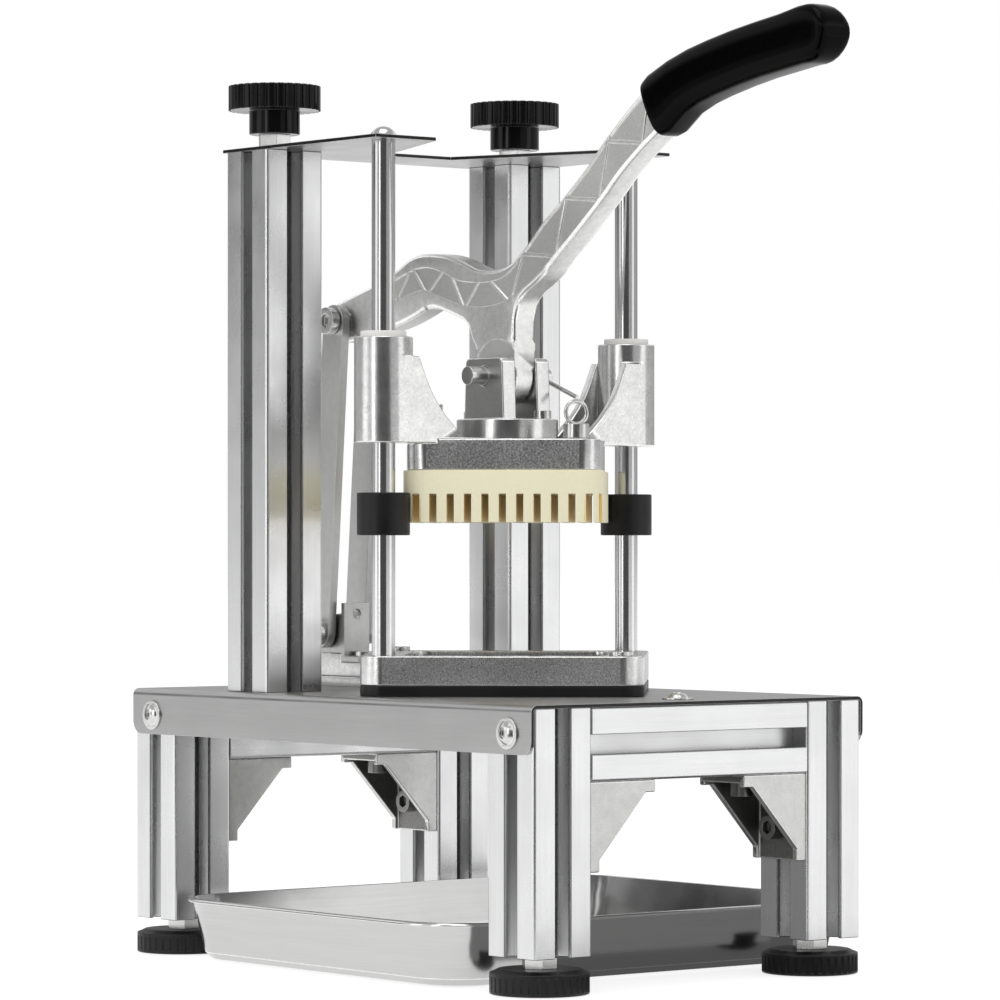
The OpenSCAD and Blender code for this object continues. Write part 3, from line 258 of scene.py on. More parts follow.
def moulded_group():
    """Fine even texture of moulded plastic or rubber with a few pale dust specks."""
    tree, given, out = new_group(
        "Moulded skin",
        [("Vector", "NodeSocketVector", None), ("Grain", "NodeSocketFloat", 900.0)],
        [("Height", "NodeSocketFloat"), ("Mottle", "NodeSocketFloat")],
    )
    skin = noise(tree, given.outputs["Vector"], given.outputs["Grain"], 2.0, 0.5)
    dust = noise(tree, given.outputs["Vector"], maths(tree, "MULTIPLY", given.outputs["Grain"], 2.3), 1.0)
    tree.links.new(skin, out.inputs["Height"])
    tree.links.new(
        maths(tree, "ADD", remap(tree, skin, 0.3, 0.7, 0.0, 0.5), remap(tree, dust, 0.62, 0.75, 0.0, 0.5)),
        out.inputs["Mottle"],
    )
    return tree


def wear_group():
    """Painted highlights on the edges, broken up by noise, and broad handling marks."""
    tree, given, out = new_group(
        "Edge wear",
        [
            ("Vector", "NodeSocketVector", None), ("Edge", "NodeSocketFloat", 0.0),
            ("Breakup", "NodeSocketFloat", 0.3),
        ],
        [("Edge", "NodeSocketFloat"), ("Marks", "NodeSocketFloat")],
    )
    fine = remap(tree, noise(tree, given.outputs["Vector"], 420.0, 3.0), 0.35, 0.6, smooth=True)
    kept = maths(tree, "SUBTRACT", 1.0, maths(tree, "MULTIPLY", given.outputs["Breakup"], fine))
    tree.links.new(maths(tree, "MULTIPLY", given.outputs["Edge"], kept, True), out.inputs["Edge"])
    tree.links.new(
        remap(tree, noise(tree, given.outputs["Vector"], 34.0, 4.0, 0.6), 0.35, 0.68, smooth=True),
        out.inputs["Marks"],
    )
    return tree


# Finishes

GROUPS = {}
FINISHES = {}


def scaled(rgb, share):
    """A colour made lighter or darker by a share, with full alpha."""
    return tuple(min(1.0, c * share) for c in rgb) + (1.0,)


def finish(
    name,
    tone,
    effect,
    grain,
    metallic=0.0,
    rough=(0.3, 0.4),
    relief=0.00003,
    strength=0.5,
    contrast=0.12,
    edge_light=1.0,
    edge_rough=0.9,
    stretch=(1, 1, 1),
    coat=0.0,
    breakup=0.3,
    specular=0.5,
    zone_tone=None,
    zone_rough=0.0,
    zone_contrast=None,
):
    """A material: grain and mottle in its colour, marks in its roughness, painted highlights on its edges
    that edge_light sets (below 1 a painted dark line), and relief.
    """
    if name in FINISHES:
        return FINISHES[name]
    material = bpy.data.materials.new(name)
    material.use_nodes = True
    tree = material.node_tree
    shader = tree.nodes["Principled BSDF"]
    place = tree.nodes.new("ShaderNodeTexCoord").outputs["Object"]
    mapping = tree.nodes.new("ShaderNodeMapping")
    mapping.inputs["Scale"].default_value = stretch
    tree.links.new(place, mapping.inputs["Vector"])
    grains = tree.nodes.new("ShaderNodeGroup")
    grains.node_tree = GROUPS[effect]
    grains.inputs["Grain"].default_value = grain
    tree.links.new(mapping.outputs["Vector"], grains.inputs["Vector"])
    wear = tree.nodes.new("ShaderNodeGroup")
    wear.node_tree = GROUPS["wear"]
    wear.inputs["Breakup"].default_value = breakup
    tree.links.new(place, wear.inputs["Vector"])
    edge = tree.nodes.new("ShaderNodeAttribute")
    edge.attribute_name = "edge"
    tree.links.new(edge.outputs["Fac"], wear.inputs["Edge"])

    ground = tree.nodes.new("ShaderNodeMix")
    ground.data_type = "RGBA"
    ground.inputs["A"].default_value = scaled(tone, 1 - contrast)
    ground.inputs["B"].default_value = scaled(tone, 1 + contrast)
    tree.links.new(grains.outputs["Mottle"], ground.inputs["Factor"])
    surface = ground.outputs["Result"]
    # Faces in the zone take zone_tone: painted shade in the slots, pockets, bracket insides, ear sides and
    # grooves, and a real finish on sand-cast faces and cut edges.
    zone = tree.nodes.new("ShaderNodeAttribute")
    zone.attribute_name = "zone"
    if zone_tone:
        other = tree.nodes.new("ShaderNodeMix")
        other.data_type = "RGBA"
        spread = zone_contrast or contrast
        other.inputs["A"].default_value = scaled(zone_tone, 1 - spread)
        other.inputs["B"].default_value = scaled(zone_tone, 1 + spread)
        sandy = zone_contrast is not None and "Sand" in grains.outputs
        tree.links.new(grains.outputs["Sand" if sandy else "Mottle"], other.inputs["Factor"])
        chosen = tree.nodes.new("ShaderNodeMix")
        chosen.data_type = "RGBA"
        tree.links.new(zone.outputs["Fac"], chosen.inputs["Factor"])
        tree.links.new(surface, chosen.inputs["A"])
        tree.links.new(other.outputs["Result"], chosen.inputs["B"])
        surface = chosen.outputs["Result"]
    # The rounded edge strips take the tone times edge_light: a painted highlight above 1, a painted dark
    # line below 1.
    edged = tree.nodes.new("ShaderNodeMix")
    edged.data_type = "RGBA"
    edged.inputs["B"].default_value = scaled(tone, edge_light)
    tree.links.new(surface, edged.inputs["A"])
    tree.links.new(wear.outputs["Edge"], edged.inputs["Factor"])
    tree.links.new(edged.outputs["Result"], shader.inputs["Base Color"])

    marked = remap(tree, wear.outputs["Marks"], 0.0, 1.0, *rough)
    if zone_rough:
        marked = maths(tree, "ADD", marked, maths(tree, "MULTIPLY", zone.outputs["Fac"], zone_rough))
    rubbed = maths(tree, "MULTIPLY", wear.outputs["Edge"], 1 - edge_rough)
    tree.links.new(
        maths(tree, "MULTIPLY", marked, maths(tree, "SUBTRACT", 1.0, rubbed), True),
        shader.inputs["Roughness"],
    )
    if strength > 0:
        bump = tree.nodes.new("ShaderNodeBump")
        bump.inputs["Strength"].default_value = strength
        bump.inputs["Distance"].default_value = relief
        tree.links.new(grains.outputs["Height"], bump.inputs["Height"])
        tree.links.new(bump.outputs["Normal"], shader.inputs["Normal"])
    shader.inputs["Metallic"].default_value = metallic
    shader.inputs["Coat Weight"].default_value = coat
    shader.inputs["Specular IOR Level"].default_value = specular
    shader.inputs["Coat Roughness"].default_value = 0.12
    FINISHES[name] = material
    return material


# Scale of a drawn line's noise along its direction: the smaller, the longer the line
LONG = 0.02


def profile_finish(axis):
    """Satin aluminium drawn along an axis, with painted shade in its slots and painted dark lines on its
    edges.
    """
    stretch = [1.0, 1.0, 1.0]
    stretch[axis] = LONG
    return finish(
        "profile_" + "xyz"[axis], colours().profile, "drawn", 1500.0, metallic=1.0, rough=(0.26, 0.34),
        strength=0, contrast=0.04, edge_light=0.5, breakup=0.0, stretch=stretch,
        zone_tone=colours().slot,
    )


def dress_profile(node, axis):
    """A profile along an axis, its slots painted darker than its outer faces, as shade."""
    low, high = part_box(node)
    middle = (low + high) / 2
    across = [i for i in range(3) if i != axis]

    def in_slot(face):
        at = face.calc_center_median()
        return all(abs(at[i] - middle[i]) < (high[i] - low[i]) / 2 - SLOT_DEPTH for i in across)

    return dress(node, sizes().profile_edge, profile_finish(axis), zone=in_slot)


def sheet_finish():
    """Brushed steel with dark cut edges."""
    return finish(
        "brushed_sheet", colours().sheet, "drawn", 1700.0, metallic=1.0, rough=(0.30, 0.38),
        relief=0.00001, strength=0.25, contrast=0.05, edge_light=1.5, stretch=(1, LONG, 1),
        zone_tone=colours().cut_edge,
    )


def bracket_finish():
    """Blasted casting of the corner brackets, with painted shade inside them."""
    return finish(
        "blasted_bracket", colours().bracket, "blasted", 1500.0, metallic=1.0, rough=(0.34, 0.42),
        relief=0.00008, strength=0.6, contrast=0.10, edge_light=1.35, edge_rough=0.7, breakup=0.3,
        zone_tone=colours().inside, zone_rough=0.1, zone_contrast=0.3,
    )


def casting_finish(name="blasted_casting", grain=1500.0):
    """Smooth casting with sandy sides where the zone says so."""
    return finish(
        name, colours().casting, "blasted", grain, metallic=1.0, rough=(0.21, 0.27),
        relief=0.00005, strength=0.4, contrast=0.12, edge_light=1.2, edge_rough=0.7, breakup=0.4,
        zone_tone=colours().sand, zone_rough=0.14, zone_contrast=0.6,
    )


def lever_finish():
    """Blasted casting of the lever, with painted shade in its pockets and under its tail."""
    return finish(
        "blasted_lever", colours().lever, "blasted", 1700.0, metallic=1.0, rough=(0.33, 0.40),
        relief=0.00007, strength=0.6, contrast=0.12, edge_light=1.25, edge_rough=0.65, breakup=0.3,
        zone_tone=colours().pocket_shade, zone_rough=0.08, zone_contrast=0.18,
    )


def zinc_finish():
    """Zinc plate of the screws, nuts and pins."""
    return finish(
        "zinc_plate", colours().zinc, "blasted", 2200.0, metallic=1.0, rough=(0.2, 0.3),
        relief=0.00001, strength=0.3, contrast=0.06, edge_light=1.15,
    )


def chrome_finish():
    """Polished steel of the guide rods."""
    return finish(
        "polished_rod", colours().chrome, "drawn", 2600.0, metallic=1.0, rough=(0.12, 0.18),
        relief=0.000004, strength=0.2, contrast=0.04, edge_light=1.0, stretch=(1, 1, 0.6),
    )


def rubber_finish():
    """Black rubber of the feet, the pad and the bumpers."""
    return finish(
        "black_rubber", colours().rubber, "moulded", 1400.0, rough=(0.36, 0.48), relief=0.00004,
        strength=0.4, contrast=0.25, edge_light=1.8, specular=0.3,
    )


# Pieces

# An edge is rounded above SHARP, and two faces lie in one plane below FLAT
SHARP = math.radians(32)
FLAT = math.radians(0.4)
# Distance within which a CAD mesh's loose corners are joined
JOIN = 2e-6
# Room beside an edge where no flat face limits it, and the faces past which a region isn't measured
WIDE = 1.0
MANY = 400
# Share of that room that an edge may take, and of the width that a corner may stray off the CAD face
ROOM_SHARE = 0.4
STRAY_SHARE = 0.6
# Least rounding that is worked out, and how often the width may be halved for a narrow face
LEAST = 1e-6
HALVINGS = 3


def merged(node):
    """A bmesh of a CAD node with its loose triangles joined."""
    bm = bmesh.new()
    bm.from_mesh(frame["nodes"][node].data)
    bmesh.ops.remove_doubles(bm, verts=bm.verts, dist=JOIN)
    bm.faces.layers.float.new("edge")
    bm.faces.layers.float.new("zone")
    return bm


def flat_regions(bm):
    """Each face's flat region: the list of faces that lie in one plane with it."""
    region = {}
    for first in bm.faces:
        if first in region:
            continue
        group = region[first] = [first]
        for face in group:
            for edge in face.edges:
                if len(edge.link_faces) == 2 and edge.calc_face_angle(0.0) < FLAT:
                    for other in edge.link_faces:
                        if other not in region:
                            region[other] = group
                            group.append(other)
    return region


def room_beside(edge, region):
    """How far the two flat regions at an edge reach away from it, the lesser of both."""
    start, end = (v.co for v in edge.verts)
    along = (end - start).normalized()
    least = WIDE
    for face in edge.link_faces:
        if len(region[face]) <= MANY:
            across = face.normal.cross(along)
            reach = max(abs((v.co - start).dot(across)) for f in region[face] for v in f.verts)
            least = min(least, reach)
    return least


def soften(bm, width):
    """Rounds the sharp edges, less where the faces beside them are narrow, and marks the strips."""
    if width <= 0:
        return
    mark = bm.faces.layers.float["edge"]
    region = flat_regions(bm)
    before = BVHTree.FromBMesh(bm)
    halvings = {}
    for edge in bm.edges:
        if len(edge.link_faces) == 2 and edge.calc_face_angle(0.0) > SHARP:
            allowed = min(width, ROOM_SHARE * room_beside(edge, region))
            step = round(math.log2(width / max(allowed, LEAST)))
            if step <= HALVINGS:
                halvings.setdefault(step, []).append(edge)
    for step in sorted(halvings, reverse=True):
        made = bmesh.ops.bevel(
            bm, geom=[e for e in halvings[step] if e.is_valid], offset=width / 2**step,
            offset_type="OFFSET", segments=2, profile=0.5, affect="EDGES", clamp_overlap=False, material=-1,
        )
        for face in made["faces"]:
            face[mark] = 1.0
    for vert in bm.verts:
        nearest, _, _, distance = before.find_nearest(vert.co)
        if distance > STRAY_SHARE * width:
            vert.co = nearest


def finished(bm, name, material, body, angle=40):
    """Makes the object of a bmesh, smooth but for its sharp edges, riding on a body."""
    mesh = bpy.data.meshes.new(name)
    bm.to_mesh(mesh)
    bm.free()
    mesh.polygons.foreach_set("use_smooth", [True] * len(mesh.polygons))
    mesh.set_sharp_from_angle(angle=math.radians(angle))
    mesh.materials.append(material)
    piece = bpy.data.objects.new(name, mesh)
    bpy.context.scene.collection.objects.link(piece)
    flat = piece.modifiers.new("flat faces first", "WEIGHTED_NORMAL")
    flat.keep_sharp = True
    flat.weight = 60
    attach(piece, body)
    return piece


SLOT_OF = {part["node"]: part["material_slot"] for part in frame["record"]["subparts"]}


def dress(node, width, material, angle=40, zone=None):
    """A softened copy of a CAD node that stands for it; zone picks faces with a look of their own."""
    bm = merged(node)
    if zone:
        layer = bm.faces.layers.float["zone"]
        for face in bm.faces:
            face[layer] = float(zone(face))
    soften(bm, width)
    piece = finished(bm, node + "_shown", material, BODY_OF[node], angle)
    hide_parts(node)
    return piece


# Grip's rear lip: its three rings as shares of the full section, and how far along they lie
LIP_SHARES = (0.55, 0.9, 0.97)
LIP_STEPS = (0.0, 0.0, 0.0007)
LIP_LENGTH = 0.0022
# Rings of the grip's end dome, in degrees, and how much narrower its tip is
DOME_TURNS = (15, 30, 44, 56, 66, 74, 80, 85)
DOME_TAPER = 0.3
# Roundness of the grip's section: 1 is an ellipse, and less is nearer to a slab
CHEEK_POWER = 0.42
BACK_POWER = 0.72


def grip_stations():
    """The grip's middle line: each row [y, z, half depth], in metres, from its rear to its end."""
    rows = (
        (-0.480, 0.820, 0.1000), (-0.505, 0.840, 0.1050), (-0.558, 0.885, 0.0945), (-0.609, 0.912, 0.0915),
        (-0.662, 0.932, 0.0900), (-0.729, 0.953, 0.0890), (-0.795, 0.970, 0.0880), (-0.867, 0.985, 0.0885),
        (-0.919, 0.998, 0.0910), (-0.938, 1.000, 0.0915),
    )
    return [(LEVER_REACH * y, PIVOT.z + LEVER_RISE * z, LEVER_RISE * h) for y, z, h in rows]


def section_matrix(y, z, half_depth, half_width, dy, dz):
    """Places a unit circle as the grip's section at a point, across the direction (dy, dz)."""
    along = Vector((0, dy, dz)).normalized()
    across = Vector((1, 0, 0))
    up = along.cross(across)
    turn = Matrix((across, up, along)).transposed().to_4x4()
    return Matrix.Translation((0, y, z)) @ turn @ Matrix.Diagonal((half_width, half_depth, 1, 1))


def grip_mesh():
    """A rounded sleeve along the grip's middle line, closed by a dome at its end and a lip at its rear."""
    rows = grip_stations()
    half_width = sizes().grip_width / 2
    places = []
    for i, (y, z, half) in enumerate(rows):
        before, after = rows[max(i - 1, 0)], rows[min(i + 1, len(rows) - 1)]
        places.append((y, z, half, after[0] - before[0], after[1] - before[1]))
    y, z, half, dy, dz = places[0]
    way = Vector((dy, dz)).normalized()
    rear = [(y, z, half * k, dy, dz, k) for k in LIP_SHARES]
    stations = [(r[0] + way.x * s, r[1] + way.y * s, *r[2:]) for r, s in zip(rear, LIP_STEPS)]
    stations += [(y + way.x * LIP_LENGTH, z + way.y * LIP_LENGTH, half, dy, dz, 1.0)]
    stations += [(*p, 1.0) for p in places[1:]]
    y, z, half, dy, dz = places[-1]
    way = Vector((dy, dz)).normalized()
    for degrees in DOME_TURNS:
        turn = math.radians(degrees)
        k = math.cos(turn)
        reach = half * math.sin(turn)
        narrow = 1 - DOME_TAPER * (1 - k) ** 3
        stations.append((y + way.x * reach, z + way.y * reach, half * k, dy, dz, narrow))
    bm = bmesh.new()
    ring = bmesh.ops.create_circle(bm, segments=sizes().grip_sides, radius=1.0, cap_ends=True)["verts"]
    for v in ring:
        # A slab with rounded edges: flat cheeks, and a top and bottom that swell a little
        v.co.x = math.copysign(abs(v.co.x) ** CHEEK_POWER, v.co.x)
        v.co.y = math.copysign(abs(v.co.y) ** BACK_POWER, v.co.y)
    now = Matrix.Identity(4)
    for y, z, half, dy, dz, share in stations:
        place = section_matrix(y, z, half, half_width * share, dy, dz)
        if now == Matrix.Identity(4):
            bmesh.ops.transform(bm, matrix=place, verts=bm.verts)
        else:
            rim = [e for e in bm.edges if all(v in ring for v in e.verts)]
            made = bmesh.ops.extrude_edge_only(bm, edges=rim)
            ring = [g for g in made["geom"] if isinstance(g, bmesh.types.BMVert)]
            bmesh.ops.transform(bm, matrix=place @ now.inverted(), verts=ring)
        now = place
        ring = set(ring)
    bmesh.ops.contextual_create(bm, geom=[e for e in bm.edges if all(v in ring for v in e.verts)])
    bmesh.ops.recalc_face_normals(bm, faces=bm.faces)
    bm.faces.layers.float.new("edge")
    return bm


def sand_cast_side(face):
    """Whether a face is one of the flat sides of the turned square block."""
    turned = Matrix.Rotation(-FRAME_TURN, 3, "Z") @ face.normal
    square_on = max(abs(turned.x), abs(turned.y)) > 0.999
    return square_on and face.calc_center_median().z < BLOCK_TOP


# Operators


class DressProfiles(bpy.types.Operator):
    """Gives the legs, cross beams and columns their satin aluminium"""

    bl_idname = "fry_cutter.profiles"
    bl_label = "Profiles"

    def execute(self, context):
        for side in ("front_left", "front_right", "rear_left", "rear_right"):
            dress_profile("leg_" + side, 2)
        for node in ("column_left", "column_right"):
            dress_profile(node, 2)
        for node in ("front_beam", "rear_beam"):
            dress_profile(node, 0)
        return {"FINISHED"}


class DressSheets(bpy.types.Operator):
    """Finishes the table, the top plate, the links and their bracket"""

    bl_idname = "fry_cutter.sheets"
    bl_label = "Sheets"

    def execute(self, context):
        dress("table_plate", sizes().sheet_edge, sheet_finish(), zone=lambda face: abs(face.normal.y) > 0.9)
        dress("top_plate", sizes().sheet_edge, sheet_finish(), zone=lambda face: abs(face.normal.z) < 0.5)
        ground = finish(
            "ground_links", colours().link, "blasted", 1500.0, metallic=1.0, rough=(0.30, 0.38),
            relief=0.00002, strength=0.3, contrast=0.06, edge_light=1.3,
        )
        for node in ("links", "link_bracket"):
            dress(node, sizes().small_edge, ground)
        return {"FINISHED"}


class DressTray(bpy.types.Operator):
    """Finishes the stainless tray"""

    bl_idname = "fry_cutter.tray"
    bl_label = "Tray"

    def execute(self, context):
        tray = finish(
            "brushed_tray", colours().tray, "drawn", 1600.0, metallic=1.0, rough=(0.16, 0.21),
            strength=0, contrast=0.03, edge_light=1.5, stretch=(LONG, LONG, 1),
        )
        dress("tray", sizes().profile_edge, tray)
        return {"FINISHED"}


class DressCastings(bpy.types.Operator):
    """Finishes the blasted castings of the stand, the cutting frame and the head"""

    bl_idname = "fry_cutter.castings"
    bl_label = "Castings"

    def execute(self, context):
        low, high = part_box("corner_brackets")

        # Faces between the bracket's cheeks, which get painted shade.
        def inside(face):
            y = face.calc_center_median().y
            from_side = min(y - low.y, high.y - y)
            return BRACKET_WALL < from_side < BRACKET_WIDTH - BRACKET_WALL

        dress("corner_brackets", sizes().casting_edge, bracket_finish(), zone=inside)
        for node in ("tail_block", "tail_spacer"):
            dress(node, sizes().casting_edge, casting_finish())
        turned = finish(
            "milled_clevis", colours().casting, "blasted", 1500.0, metallic=1.0, rough=(0.18, 0.24),
            relief=0.00004, strength=0.3, contrast=0.07, edge_light=1.2, zone_tone=colours().ear,
            zone_rough=0.12, zone_contrast=0.16,
        )
        # The ears' faces along X get painted shade.
        dress("clevis", sizes().casting_edge, turned, zone=lambda face: abs(face.normal.x) > 0.9)
        dress("blade_frame", sizes().casting_edge, casting_finish(), zone=sand_cast_side)
        coarse = casting_finish("coarse_casting", 1000.0)
        dress("head_casting", sizes().casting_edge, coarse, zone=sand_cast_side)
        return {"FINISHED"}


class DressLever(bpy.types.Operator):
    """Finishes the cast lever and makes its glossy grip"""

    bl_idname = "fry_cutter.lever"
    bl_label = "Lever and grip"

    def execute(self, context):
        half = (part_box("lever")[1].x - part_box("lever")[0].x) / 2

        # Pocket floors and the tail's underside get painted shade.
        def shaded_face(face):
            at = face.calc_center_median()
            pocket_floor = abs(face.normal.x) > 0.9 and abs(at.x) < half - POCKET_LEAST
            tail_underside = face.normal.z < -0.3 and at.y > TAIL_FROM
            return pocket_floor or tail_underside

        dress("lever", sizes().lever_edge, lever_finish(), zone=shaded_face)
        vinyl = finish(
            "glossy_vinyl", colours().grip, "moulded", 260.0, rough=(0.12, 0.16), relief=0.00003,
            strength=0.08, contrast=0.2, specular=0.05,
        )
        piece = finished(grip_mesh(), "grip_sleeve", vinyl, "lever", 60)
        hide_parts("grip")
        return {"FINISHED"}


class DressHead(bpy.types.Operator):
    """Finishes the ivory pusher and the white bushes"""

    bl_idname = "fry_cutter.head"
    bl_label = "Pusher and bushes"

    def execute(self, context):
        ivory = finish(
            "ivory_plastic", colours().ivory, "moulded", 700.0, rough=(0.38, 0.48), relief=0.00003,
            strength=0.3, contrast=0.03, edge_light=1.04, edge_rough=0.9, zone_tone=colours().groove_shade,
        )
        nylon = finish(
            "white_nylon", colours().nylon, "moulded", 900.0, rough=(0.35, 0.45), relief=0.00002,
            strength=0.3, contrast=0.03, edge_light=1.05,
        )

        def in_groove(face):
            at = Matrix.Rotation(-FRAME_TURN, 3, "Z") @ face.calc_center_median()
            side = max(abs(at.x), abs(at.y))
            at_corner = min(abs(at.x), abs(at.y)) > PUSHER_HALF - CORNER
            low = at.z < GROOVE_TOP + GROOVE_ROOM
            within = side < PUSHER_HALF - PUSHER_SKIN
            return low and within and not at_corner and abs(face.normal.z) < 0.9

        # Groove faces get painted warm shade.
        dress("pusher_block", sizes().pusher_edge, ivory, zone=in_groove)
        dress("guide_bushes", sizes().small_edge, nylon)
        return {"FINISHED"}


class DressBlades(bpy.types.Operator):
    """Finishes the two crossed sets of blades"""

    bl_idname = "fry_cutter.blades"
    bl_label = "Blades"

    def execute(self, context):
        ground = finish(
            "ground_blade", colours().blade, "drawn", 2400.0, metallic=1.0, rough=(0.18, 0.28),
            relief=0.00001, strength=0.3, contrast=0.08, edge_light=1.2, stretch=(1, 1, LONG),
        )
        for node in ("blade_set_lower", "blade_set_upper"):
            dress(node, 0.0, ground)
        return {"FINISHED"}


class DressFasteners(bpy.types.Operator):
    """Finishes the rods, screws, nuts, pins, studs and plungers"""

    bl_idname = "fry_cutter.fasteners"
    bl_label = "Rods and fasteners"

    def execute(self, context):
        for node in ("guide_rod_left", "guide_rod_right", "dome_nuts"):
            dress(node, sizes().small_edge, chrome_finish())
        dull = finish(
            "dull_screw", colours().dark_screw, "blasted", 2200.0, metallic=1.0, rough=(0.3, 0.4),
            relief=0.00001, strength=0.3, contrast=0.1, edge_light=1.8,
        )
        for node, slot in SLOT_OF.items():
            if slot == "fastener":
                dress(node, sizes().small_edge, dull if node == "bracket_screws" else zinc_finish())
        return {"FINISHED"}


class DressMouldings(bpy.types.Operator):
    """Finishes the black knobs, the rubber feet, the bumpers and the pad"""

    bl_idname = "fry_cutter.mouldings"
    bl_label = "Knobs, feet and rubber"

    def execute(self, context):
        # Edge strips painted six times brighter: painted highlights on the knobs' serrations.
        plastic = finish(
            "black_plastic", colours().plastic, "moulded", 900.0, rough=(0.10, 0.16), relief=0.00002,
            strength=0.1, contrast=0.2, edge_light=6.0, specular=0.22,
        )
        for node in ("knob_left", "knob_right"):
            dress(node, sizes().moulded_edge, plastic)
        for node, slot in SLOT_OF.items():
            if slot == "black_rubber":
                dress(node, sizes().moulded_edge, rubber_finish())
        return {"FINISHED"}


# Stage

# Camera of the photograph: place, turn, focal length in mm, and the side that it looks from
CAMERA_AT = Vector((-1.2656, -1.5730, 0.1833))
CAMERA_TURN = (math.radians(90), 0, math.radians(-38.73))
LENS = 168.9
SHIFT_Y = 0.0372
CAMERA_SIDE = math.atan2(CAMERA_AT.y, CAMERA_AT.x)
# Card behind the front legs: its height as a share of theirs, and its gap to them
INNER_FLAG_SHARE = 0.94
INNER_FLAG_GAP = 0.004
# Half of the sweep of the card on the camera's side
CAMERA_HALF = math.radians(28)
# How far the floor lies under the feet, and half of its side
FLOOR_DROP = 0.0004
FLOOR_SIZE = 12


def seen_material(name, build):
    """A stage material whose nodes are made by build, which is given its empty tree."""
    material = bpy.data.materials.new(name)
    material.use_nodes = True
    material.node_tree.nodes.clear()
    build(material.node_tree)
    return material


def backdrop_rays(tree):
    """1 for camera, glossy and transmission rays, which see the white backdrop, and else 0."""
    path = tree.nodes.new("ShaderNodeLightPath")
    either = maths(tree, "MAXIMUM", path.outputs["Is Camera Ray"], path.outputs["Is Glossy Ray"])
    return maths(tree, "MAXIMUM", either, path.outputs["Is Transmission Ray"])


def softbox(name, at, aim, size, power):
    """A rectangular area lamp that looks at a point."""
    lamp = bpy.data.lights.new(name, "AREA")
    lamp.shape = "RECTANGLE"
    lamp.size, lamp.size_y = size
    lamp.energy = power
    holder = bpy.data.objects.new(name, lamp)
    holder.location = at
    holder.rotation_euler = (Vector(aim) - Vector(at)).to_track_quat("-Z", "Y").to_euler()
    bpy.context.scene.collection.objects.link(holder)


def flag(name, outline, start, sweep, level):
    """A curved card seen only in reflections: an outline in X and Z, spun about Z by the sweep."""
    bm = bmesh.new()
    verts = [bm.verts.new((x, 0, z)) for x, z in outline]
    edges = [bm.edges.new(pair) for pair in zip(verts, verts[1:])]
    bmesh.ops.rotate(bm, cent=(0, 0, 0), matrix=Matrix.Rotation(start, 3, "Z"), verts=bm.verts)
    bmesh.ops.spin(
        bm, geom=verts + edges, cent=(0, 0, 0), axis=(0, 0, 1), angle=sweep,
        steps=max(4, int(abs(sweep) * 16)), use_merge=False,
    )
    glossy_card(name, bm, level)


def glossy_card(name, bm, level):
    """Makes the object of a card that only reflections see, glowing evenly at a level."""
    mesh = bpy.data.meshes.new(name)
    bm.to_mesh(mesh)
    bm.free()

    def build(tree):
        glow = tree.nodes.new("ShaderNodeEmission")
        glow.inputs["Color"].default_value = (level, level, level, 1)
        out = tree.nodes.new("ShaderNodeOutputMaterial")
        tree.links.new(glow.outputs[0], out.inputs["Surface"])

    mesh.materials.append(seen_material(name, build))
    card = bpy.data.objects.new(name, mesh)
    bpy.context.scene.collection.objects.link(card)
    for ray in ("camera", "diffuse", "transmission", "volume_scatter", "shadow"):
        setattr(card, "visible_" + ray, False)


